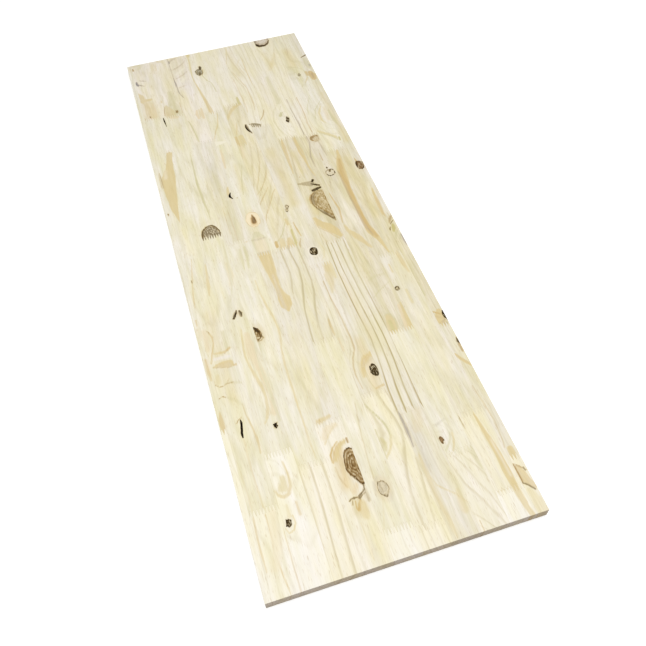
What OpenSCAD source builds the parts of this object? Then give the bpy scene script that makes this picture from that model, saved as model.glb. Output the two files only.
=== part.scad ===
// Finger-jointed, edge-glued pine panel, lying flat with its best face up.
// Short pine blocks are finger-jointed end to end into long staves, the staves are
// glued edge to edge, and the panel is planed and cut to size. The fingers show on
// the wide faces, and the two outermost staves are what the rip saw left of them.
// X runs across the staves, Y along the grain and Z through the thickness. The
// origin is the middle of the underside. Stave 1 is at -X, and the blocks of a
// stave are counted from its +Y end.

/* [Panel] */
// Length along the grain
panel_l = 1250; // [800:10:2400]
// Thickness
panel_t = 18; // [12:1:40]

/* [Staves] */
// Width of a full stave
stave_w = 41.5; // [25:0.5:60]
// Width left of the first stave, ripped at the -X edge
first_stave_w = 9.5; // [6:0.5:25]
// Width left of the last stave, ripped at the +X edge
last_stave_w = 17; // [6:0.5:25]

/* [Finger joints] */
// Length of a finger
finger_l = 9; // [4:0.5:15]
// Distance from one finger to the next
finger_pitch = 4.6; // [3:0.1:8]
// Width of the flat at a finger's tip
finger_tip = 0.7; // [0.3:0.1:1]

/* [Hidden] */
// Where each stave is finger-jointed, as shares of the panel's length from the +Y end,
// one list for each stave from -X to +X
joints = [
    [0.35, 0.794],
    [0.17, 0.264, 0.903],
    [0.174, 0.476, 0.841],
    [0.26, 0.498, 0.867],
    [0.188, 0.533, 0.821],
    [0.179, 0.288, 0.532, 0.706, 0.968],
    [0.253, 0.58, 0.801, 0.976],
    [0.297, 0.542, 0.835],
    [0.302, 0.722, 0.905],
    [0.351, 0.592, 0.863, 0.965],
    [0.518, 0.732, 0.931]
];
full_staves = len(joints) - 2;
panel_w = first_stave_w + full_staves * stave_w + last_stave_w;
// Blocks alternate between two tones of pine, so that neighbours can be told apart
tones = ["wheat", "burlywood"];

// Two digits for a stave's number
function two_digits(n) = n < 10 ? str("0", n) : str(n);

function block_name(s, b) = str("stave_", two_digits(s + 1), "_block_", b + 1);

// The -X side of stave s, so that stave_x(s + 1) is its +X side
function stave_x(s) =
    s == 0 ? -panel_w / 2
    : s > full_staves + 1 ? panel_w / 2
    : -panel_w / 2 + first_stave_w + (s - 1) * stave_w;

// How far a finger reaches at u across the stave: the flanks rise and fall between
// flats of finger_tip, one finger to each pitch
function finger_reach(u) =
    let (
        off_centre = abs(u / finger_pitch - floor(u / finger_pitch) - 0.5) * finger_pitch,
        rise = (finger_pitch / 2 - finger_tip / 2 - off_centre) / (finger_pitch / 2 - finger_tip)
    )
    finger_l * max(0, min(1, rise));

// The bends of the finger profile inside a stave of width w, where the cutter's
// pattern is cut off at the stave's sides
function finger_bends(w) =
    let (half = finger_pitch / 2, shoulder = finger_tip / 2)
    [
        for (k = [0 : ceil(w / finger_pitch)])
            for (u = [shoulder, half - shoulder, half + shoulder, finger_pitch - shoulder])
                if (k * finger_pitch + u < w - shoulder) k * finger_pitch + u
    ];

// The outline of a block's end across stave s, from its -X side to its +X side.
// j counts the stave's joints, with 0 for the panel's +Y end.
function end_line(s, j) =
    let (
        w = stave_x(s + 1) - stave_x(s),
        count = len(joints[s]),
        middle = panel_l / 2 - (j == 0 ? 0 : j > count ? 1 : joints[s][j - 1]) * panel_l,
        jointed = j > 0 && j <= count
    )
    jointed
        ? [for (u = [0, each finger_bends(w), w]) [stave_x(s) + u, middle - finger_l / 2 + finger_reach(u)]]
        : [[stave_x(s), middle], [stave_x(s + 1), middle]];

function reversed(points) = [for (i = [len(points) - 1 : -1 : 0]) points[i]];

// One block of stave s: both its ends take their outline from the joint they share
module block(s, b) {
    color(tones[(s + b) % 2])
        linear_extrude(height = panel_t)
            polygon(concat(end_line(s, b + 1), reversed(end_line(s, b))));
}

for (s = [0 : len(joints) - 1])
    for (b = [0 : len(joints[s])])
        block(s, b);
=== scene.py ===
# %% [markdown]
# # A finger-jointed pine board
# The board is a panel of short pine blocks. They are finger-jointed end to end into
# long staves, and the staves are glued edge to edge, then planed and sanded. The fixed
# frame already holds every block at its real size. This lesson gives each block the
# surface that pine has: growth rings, resin streaks, knots and cracks, each of them
# cut off sharply where one block ends and the next begins.

import math

import bpy
import numpy as np
from mathutils import Matrix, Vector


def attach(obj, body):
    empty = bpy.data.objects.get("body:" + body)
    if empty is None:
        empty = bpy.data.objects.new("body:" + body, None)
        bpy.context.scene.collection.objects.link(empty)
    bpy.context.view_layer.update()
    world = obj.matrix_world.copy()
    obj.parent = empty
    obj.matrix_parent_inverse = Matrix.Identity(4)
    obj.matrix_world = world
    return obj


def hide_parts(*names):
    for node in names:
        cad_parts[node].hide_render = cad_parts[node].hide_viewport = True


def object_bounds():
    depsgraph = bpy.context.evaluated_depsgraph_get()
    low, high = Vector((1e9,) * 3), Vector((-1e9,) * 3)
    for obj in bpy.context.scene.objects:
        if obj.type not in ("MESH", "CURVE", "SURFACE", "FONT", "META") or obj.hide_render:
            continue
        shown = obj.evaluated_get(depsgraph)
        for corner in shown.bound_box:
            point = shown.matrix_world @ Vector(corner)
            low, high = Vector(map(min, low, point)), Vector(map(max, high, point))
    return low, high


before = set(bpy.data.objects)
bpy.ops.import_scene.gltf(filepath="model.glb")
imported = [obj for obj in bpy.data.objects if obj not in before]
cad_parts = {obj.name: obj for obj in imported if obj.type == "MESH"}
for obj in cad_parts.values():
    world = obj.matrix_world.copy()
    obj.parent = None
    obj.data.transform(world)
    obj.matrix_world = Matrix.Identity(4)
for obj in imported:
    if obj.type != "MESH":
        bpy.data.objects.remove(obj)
cad_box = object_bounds()
blocks = sorted(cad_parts)
print(len(blocks), "blocks in a box of", [round(v * 1000, 1) for v in cad_box[1] - cad_box[0]], "mm")

# %% [markdown]
# ## Camera
# The board lies flat and is seen from above one of its narrow ends, with the camera
# turned and rolled a little, so the long edges converge towards the far end. A matrix
# of the camera's own axes says this directly: its columns are the camera's right, its
# up, and the direction behind it.

# %% Place the camera
CAMERA_RIGHT = (0.9531, -0.3008, -0.0334)
CAMERA_UP = (0.2595, 0.7554, 0.6017)
CAMERA_AT = (-0.17723, -0.9019, 0.94902)
LENS_MM = 39.56
SENSOR_MM = 36.0

right = np.array(CAMERA_RIGHT) / np.linalg.norm(CAMERA_RIGHT)
behind = np.cross(right, CAMERA_UP)
behind /= np.linalg.norm(behind)
up = np.cross(behind, right)
axes = np.eye(4)
axes[:3, 0], axes[:3, 1], axes[:3, 2], axes[:3, 3] = right, up, behind, CAMERA_AT
camera_data = bpy.data.cameras.new("camera")
camera_data.lens = LENS_MM
camera_data.sensor_width = SENSOR_MM
camera = bpy.data.objects.new("camera", camera_data)
bpy.context.scene.collection.objects.link(camera)
camera.matrix_world = Matrix(axes.tolist())
bpy.context.scene.camera = camera
print("camera looks down at", round(math.degrees(math.asin(behind[2])), 1), "degrees")

# %% [markdown]
# ## Measuring as a joiner does
# Everything seen on the board is placed with three measures in millimetres: how far
# across from its left long edge, how far along from its far end, and how deep below its
# upper face. A point in space gives all three, so a knot or a growth ring worked out
# from them runs on round every edge and through to the underside, as in real wood.

# %% Across, along and deep
BOARD_LOW = np.array(cad_box[0]) * 1000
BOARD_HIGH = np.array(cad_box[1]) * 1000


def joiner_measures(points):
    """Metres to mm across from the left edge, along from the far end, deep below the upper face."""
    across = points[:, 0] * 1000 - BOARD_LOW[0]
    along = BOARD_HIGH[1] - points[:, 1] * 1000
    deep = BOARD_HIGH[2] - points[:, 2] * 1000
    return across, along, deep


def linear(hex_colour):
    """An sRGB colour such as #E8DDC2 as the linear red, green and blue that Blender works in."""
    srgb = np.array([int(hex_colour[i : i + 2], 16) / 255 for i in (1, 3, 5)])
    return np.where(srgb <= 0.04045, srgb / 12.92, ((srgb + 0.055) / 1.055) ** 2.4)


def stave_and_block(node):
    """The two numbers in a name such as stave_03_block_2."""
    return int(node[6:8]), int(node[15:])


print("the board is", BOARD_HIGH - BOARD_LOW, "mm")

# %% [markdown]
# ## Clear wood
# Each block comes from another tree, or another part of one, so each has a tone of its
# own: greyish cream, yellower near the heart, pinker in fresh sapwood. The tones here
# are the sanded wood between the growth rings, before streaks and knots. The darker
# tones are also the more mottled ones.

# %% Tone of each block
# (colour, how mottled it is, where 1 is usual)
TONES = {
    "chalk": ("#F4F0E7", 0.45),
    "ivory": ("#F2ECDD", 0.55),
    "cream": ("#EFE9D9", 0.85),
    "rosy": ("#EFE8DC", 1.2),
    "bone": ("#EBE6D6", 1.1),
    "linen": ("#E7E1D2", 1.1),
    "honeyed": ("#E8E0C9", 1.3),
    "straw": ("#E2DAC4", 1.5),
}
# The blocks of each stave, from the far end
CLEAR_WOOD = {
    1: ["bone", "bone", "chalk"],
    2: ["rosy", "bone", "bone", "chalk"],
    3: ["rosy", "bone", "bone", "chalk"],
    4: ["rosy", "linen", "bone", "ivory"],
    5: ["cream", "bone", "linen", "cream"],
    6: ["cream", "honeyed", "honeyed", "linen", "bone", "chalk"],
    7: ["cream", "linen", "linen", "cream", "ivory"],
    8: ["cream", "straw", "linen", "linen"],
    9: ["cream", "straw", "bone", "cream"],
    10: ["bone", "straw", "linen", "cream", "chalk"],
    11: ["linen", "straw", "linen", "ivory"],
}
print(sum(len(names) for names in CLEAR_WOOD.values()), "blocks in", len(TONES), "tones of clear wood")

# %% [markdown]
# ## Growth rings
# A tree's rings are cylinders round its pith. Sawn nearly through the pith they show as
# close straight lines, and sawn further out they show as wide arches. So a block's rings
# follow from where the pith ran: how far across, how deep, and how it leaned along the
# length.

# %% Where the pith ran
# (across from the stave's left side, deep, ring width, lean across and deep in mm a metre, strength)
PITH = {
    (1, 1): (-22, 30, 7.5, 14, 30, 0.2),
    (1, 2): (30, 26, 6.5, -10, 24, 0.2),
    (1, 3): (-18, 34, 7.0, 16, -20, 0.2),
    (2, 1): (24, 40, 9.0, 30, 120, 0.14),
    (2, 2): (52, 26, 8.0, 20, 30, 0.12),
    (2, 3): (22, 46, 8.5, -14, 46, 0.18),
    (2, 4): (20, 30, 6.0, 10, 60, 0.24),
    (3, 1): (-14, 24, 8.0, 26, -40, 0.16),
    (3, 2): (30, 52, 9.0, 24, 60, 0.18),
    (3, 3): (20, 60, 9.5, 14, -46, 0.16),
    (3, 4): (22, 40, 7.5, 10, 90, 0.16),
    (4, 1): (6, 44, 9.5, 40, 60, 0.14),
    (4, 2): (60, 22, 7.5, -22, 16, 0.14),
    (4, 3): (24, 66, 10.0, 12, 40, 0.14),
    (5, 1): (-10, 36, 8.5, 34, 40, 0.18),
    (5, 2): (20, 50, 9.0, 20, -50, 0.16),
    (5, 3): (18, 48, 9.0, 10, 90, 0.16),
    (5, 4): (40, 40, 8.5, -14, 20, 0.16),
    (6, 1): (-16, 40, 8.0, 20, 24, 0.12),
    (6, 5): (24, 70, 9.0, 10, 60, 0.14),
    (6, 6): (60, 30, 7.5, 10, 10, 0.2),
    (7, 2): (20, 44, 9.0, 24, 60, 0.18),
    (8, 1): (56, 24, 8.0, 10, 24, 0.2),
    (8, 4): (-12, 30, 7.5, 30, 24, 0.2),
    (9, 2): (50, 40, 8.5, 20, 46, 0.2),
    (9, 3): (18, 60, 9.0, 14, -36, 0.14),
    (10, 1): (30, 50, 9.0, -10, 60, 0.2),
    (10, 2): (16, 46, 9.0, 20, 40, 0.18),
    (10, 3): (26, 60, 9.0, -14, 30, 0.14),
    (10, 4): (56, 30, 8.0, -20, 20, 0.18),
    (10, 5): (60, 30, 8.0, -20, 20, 0.18),
    (11, 1): (-20, 34, 7.5, 20, 40, 0.2),
    (11, 2): (30, 26, 6.5, -14, 30, 0.2),
    (11, 3): (-16, 30, 7.5, 20, -24, 0.2),
    (11, 4): (26, 30, 6.5, 14, 30, 0.18),
}
print(len(PITH), "blocks with a pith")

# %% [markdown]
# Some blocks show a few bold lines that no straight pith would give. Those are drawn
# from the block's far end to its near end, from left to right, and the ring number grows
# by one from each line to the next. Round a buried knot the rings swell into ovals.

# %% Lines drawn, and swells
# (strength, how far the rings lean across by the underside, lines of (across, along))
LINES = {
    (4, 4): (0.55, -9, [
        [(95, 1080), (94, 1150), (92, 1250)],
        [(111, 1080), (109, 1150), (105, 1250)],
        [(129, 1080), (128, 1150), (124, 1250)]]),
    (6, 2): (0.3, 10, [
        [(170, 224), (174, 250), (168, 300), (166, 360)],
        [(196, 224), (187, 236), (178, 260), (176, 300), (178, 360)],
        [(211, 224), (211, 250), (204, 290), (196, 330), (194, 360)]]),
    (6, 3): (0.34, 14, [
        [(184, 360), (172, 450), (160, 520), (150, 665)],
        [(205, 360), (193, 430), (178, 500), (164, 560), (156, 665)],
        [(215, 372), (207, 425), (192, 475), (175, 522), (166, 600), (164, 665)],
        [(224, 400), (215, 447), (204, 478), (187, 513), (172, 545), (168, 665)],
        [(232, 430), (219, 480), (207, 515), (197, 543), (182, 575), (173, 605), (171, 665)],
        [(240, 430), (228, 500), (215, 545), (204, 580), (191, 625), (186, 665)]]),
    (6, 4): (0.66, 12, [
        [(182, 665), (184, 725), (181, 750), (176, 770), (166, 882)],
        [(197, 665), (198, 690), (201, 720), (199, 752), (193, 775), (188, 795), (184, 815), (182, 840),
            (179, 882)],
        [(213, 665), (215, 752), (212, 775), (207, 795), (203, 812), (199, 835), (197, 860), (196, 882)],
        [(228, 665), (230, 752), (224, 800), (214, 860), (211, 882)]]),
    (7, 1): (0.32, -10, [
        [(212, 0), (214, 120), (220, 162), (225, 212), (221, 250), (216, 316)],
        [(219, 0), (222, 90), (232, 150), (240, 175), (241, 225), (237, 250), (230, 316)],
        [(230, 0), (233, 50), (238, 80), (250, 125), (251, 200), (248, 250), (240, 316)],
        [(243, 0), (247, 60), (256, 120), (260, 200), (258, 255), (250, 316)]]),
    (7, 3): (0.3, 8, [
        [(226, 725), (226, 850), (222, 920), (215, 1000)],
        [(237, 725), (235, 775), (235, 850), (238, 895), (235, 915), (223, 945), (222, 1000)],
        [(250, 725), (249, 850), (248, 920), (238, 965), (240, 1000)]]),
    (7, 4): (0.5, -12, [
        [(217, 1000), (221, 1025), (228, 1040), (234, 1055), (237, 1070), (236, 1085), (230, 1097),
            (218, 1110), (210, 1220)],
        [(243, 1000), (248, 1025), (254, 1050), (256, 1075), (252, 1095), (246, 1115), (238, 1140),
            (233, 1165), (231, 1220)],
        [(256, 1000), (264, 1050), (266, 1080), (262, 1110), (258, 1130), (254, 1160), (247, 1220)]]),
    (8, 2): (0.35, 9, [
        [(265, 371), (262, 425), (257, 480), (254, 678)],
        [(278, 371), (276, 425), (274, 500), (266, 560), (262, 678)],
        [(290, 371), (294, 425), (299, 487), (302, 560), (304, 678)]]),
    (7, 5): (0.4, 6, [
        [(216, 1215), (216, 1250)],
        [(226, 1215), (226, 1250)],
        [(235, 1215), (235, 1250)],
        [(245, 1215), (246, 1250)],
        [(255, 1215), (256, 1250)]]),
    (8, 3): (1.15, -8, [
        [(265, 677), (264, 750), (266, 850), (268.5, 900), (266, 950), (262, 1000), (261, 1044)],
        [(273, 677), (273.5, 750), (277.5, 850), (279.5, 900), (278.5, 950), (275, 1000), (274, 1044)],
        [(283, 677), (284, 750), (288, 850), (290, 900), (289.5, 950), (286.5, 1000), (286, 1044)],
        [(296, 677), (296, 750), (299, 850), (301, 900), (300, 1044)]]),
    (9, 1): (0.26, 12, [
        [(304, 0), (302, 120), (303, 250), (311, 300), (307, 378)],
        [(318, 0), (314, 120), (312, 250), (314, 320), (317, 378)],
        [(332, 0), (328, 120), (323, 250), (323, 320), (326, 378)],
        [(344, 0), (340, 120), (334, 250), (331, 340), (334, 378)]]),
    (9, 4): (0.36, -9, [
        [(290, 1131), (296, 1190), (302, 1220), (310, 1230), (320, 1245), (323, 1250)],
        [(298, 1131), (303, 1150), (310, 1180), (318, 1195), (326, 1210), (334, 1230), (340, 1250)],
        [(310, 1131), (316, 1145), (322, 1160), (330, 1185), (336, 1200), (345, 1250)]]),
}
# (across, along, reach across, reach along, how many rings)
SWELLS = {
    (3, 4): [(62, 1086, 14, 34, 1.6)],
    (7, 4): [(212, 1078, 20, 30, 1.2)],
    (8, 1): [(300, 314, 22, 32, -2.6)],
    (9, 3): [(303, 1105, 20, 26, 2.4)],
    (10, 1): [(390, 338, 34, 46, -4.2), (358, 165, 22, 36, 1.6)],
}
print(len(LINES), "blocks with drawn lines,", len(SWELLS), "with swells")

# %% [markdown]
# ## Knots
# A knot is a branch, cut across by the face. The trunk's rings part and flow round it.
# A live branch leaves a pale or brown oval that has grown into the wood, and a dead one
# leaves a dark plug with a black rim of bark. A look is the colour of the knot's wood
# and seven amounts from 0 to 1: how pale and how dark its flecks are, how far they
# follow its own rings, how black its rim and its heart, how strong the brown halo round
# it, and how wide the rim is as a share of its radius.

# %% Knots, by block
LOOKS = {
    "dead": ("#4A3A14", 0.7, 0.95, 0.2, 1.0, 0.2, 0.1, 0.28),
    "brown": ("#A0885A", 0.7, 0.85, 0.15, 0.7, 0.0, 0.2, 0.22),
    "red": ("#826643", 0.3, 0.35, 0.3, 0.75, 0.0, 0.15, 0.2),
    "grey": ("#9C957F", 0.5, 0.4, 0.25, 0.4, 0.0, 0.05, 0.12),
    "comb": ("#91846A", 0.75, 0.5, 0.3, 0.5, 0.0, 0.05, 0.12),
    "old": ("#DAD1C4", 0.25, 0.3, 0.1, 0.6, 0.0, 0.05, 0.42),
    "ring": ("#DAD0B6", 0.3, 0.2, 0.1, 1.0, 0.0, 0.05, 0.26),
    "loop": ("#CBBF9E", 0.3, 0.2, 0.0, 1.0, 0.0, 0.1, 0.42),
    "faint": ("#C9BEA4", 0.6, 0.2, 0.2, 0.75, 0.0, 0.25, 0.17),
    "pin": ("#A8946A", 0.2, 0.3, 0.0, 0.5, 0.6, 0.3, 0.5),
    "dimple": ("#A39A80", 0.2, 0.4, 0.0, 0.3, 0.1, 0.0, 0.5),
    "heart": ("#EFE0C0", 0.4, 0.04, 0.15, 0.35, 0.0, 0.08, 0.08),
    "eye": ("#CDC3A1", 0.3, 0.2, 0.0, 1.0, 0.0, 0.0, 0.78),
    "kidney": ("#CBBC9C", 0.6, 0.3, 0.1, 0.25, 0.0, 0.1, 0.22),
    "bark": ("#9A8056", 0.65, 0.65, 0.5, 0.9, 0.0, 0.0, 0.09),
    "small": ("#957954", 0.3, 0.5, 0.0, 0.8, 0.0, 0.1, 0.5),
    "spike": ("#B8A477", 0.6, 0.4, 0.12, 0.35, 0.0, 0.0, 0.04),
}
# (across, along, half its width, half its length, look, how far the rings part in half widths)
KNOTS = {
    (1, 2): [(6.5, 511, 1.2, 3, "pin", 1.5)],
    (2, 1): [(22, 205, 1.6, 4, "pin", 1.2)],
    (2, 3): [(16, 689, 0.8, 3, "pin", 1.2)],
    (3, 1): [(79, 205, 3, 4.6, "pin", 1.6)],
    (3, 2): [(72, 591, 17.5, 28, "comb", 1.05)],
    (3, 3): [(80.5, 1007, 2.9, 5.2, "dead", 1.6)],
    (3, 4): [(58, 1157, 4.4, 6.2, "dead", 2.0)],
    (4, 3): [(91.5, 834, 12.5, 14, "brown", 1.3)],
    (5, 1): [(158, 64, 3.2, 9, "grey", 1.6), (152.5, 79, 8.2, 13, "grey", 1.35)],
    (5, 2): [(154, 576, 13, 21, "heart", 1.4)],
    (5, 4): [(170.5, 1100, 13.5, 25.5, "bark", 1.4), (179, 1109, 16, 27.5, "bark", 1.0)],
    (6, 5): [(197, 1150, 8.4, 12.8, "faint", 1.4)],
    (7, 2): [
        (222.6, 564.5, 3.2, 5.4, "loop", 1.4),
        (220, 574, 2.8, 4.6, "loop", 1.4),
        (237, 690, 7.8, 10, "dead", 2.2),
    ],
    (7, 3): [(252.5, 961, 6.6, 12, "dead", 1.9)],
    (8, 1): [(296, 308.5, 3.4, 6, "dead", 2.2), (294.6, 316, 3.6, 5.6, "dead", 2.2)],
    (8, 2): [(291, 568, 21, 28, "spike", 1.0), (301, 585, 17, 41, "spike", 0.6)],
    (9, 1): [(317.5, 1, 18.5, 29, "old", 1.1)],
    (9, 2): [(330.5, 390, 9.6, 10.4, "kidney", 1.3), (329.5, 500.5, 9.4, 10.8, "ring", 1.3)],
    (9, 3): [(303.5, 1106, 3.4, 6, "small", 2.2)],
    (10, 1): [(363.5, 167.5, 3.2, 6.6, "dimple", 2.4)],
    (10, 3): [(346, 818, 4.6, 5.0, "eye", 1.5)],
    (11, 1): [(390.5, 499, 8.2, 13.2, "red", 1.3)],
    (11, 2): [(400, 896, 4.2, 9.5, "dead", 1.2)],
}
print(sum(len(k) for k in KNOTS.values()), "knots")

# %% [markdown]
# ## Streaks and washes
# Resin and heartwood stain pine tan, orange and olive, and blue stain and sapwood leave
# it grey or milky. A stain is drawn as a brush stroke: a path of (across, along, half
# width) points. A streak keeps a fairly crisp, feathered edge, while a wash fades out
# over many millimetres. Both stop dead at a glue line, because they belong to one block.

# %% Colours of the stains
STAINS = {
    "tan": "#D9C591",
    "honey": "#DDCE9E",
    "amber": "#CCAF73",
    "umber": "#A98C5E",
    "olive": "#CCC59A",
    "grey": "#C0BAA9",
    "rose": "#E3D1AC",
    "lilac": "#EDE6E0",
    "milk": "#F1EAD4",
    "slate": "#867A5E",
    "bark": "#2E2210",
    "walnut": "#5E4220",
    "moss": "#C6BB7C",
    "smoke": "#76777E",
    "rust": "#A27C4A",
    "sap": "#E0D0A8",
}
# These are laid over a knot. The others keep off it.
OVER_KNOTS = ("slate", "bark", "walnut", "rust", "sap")
print(len(STAINS), "stains")

# %% [markdown]
# The first three staves carry the long tan streak at the left edge and the bark pockets
# below it.

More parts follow.
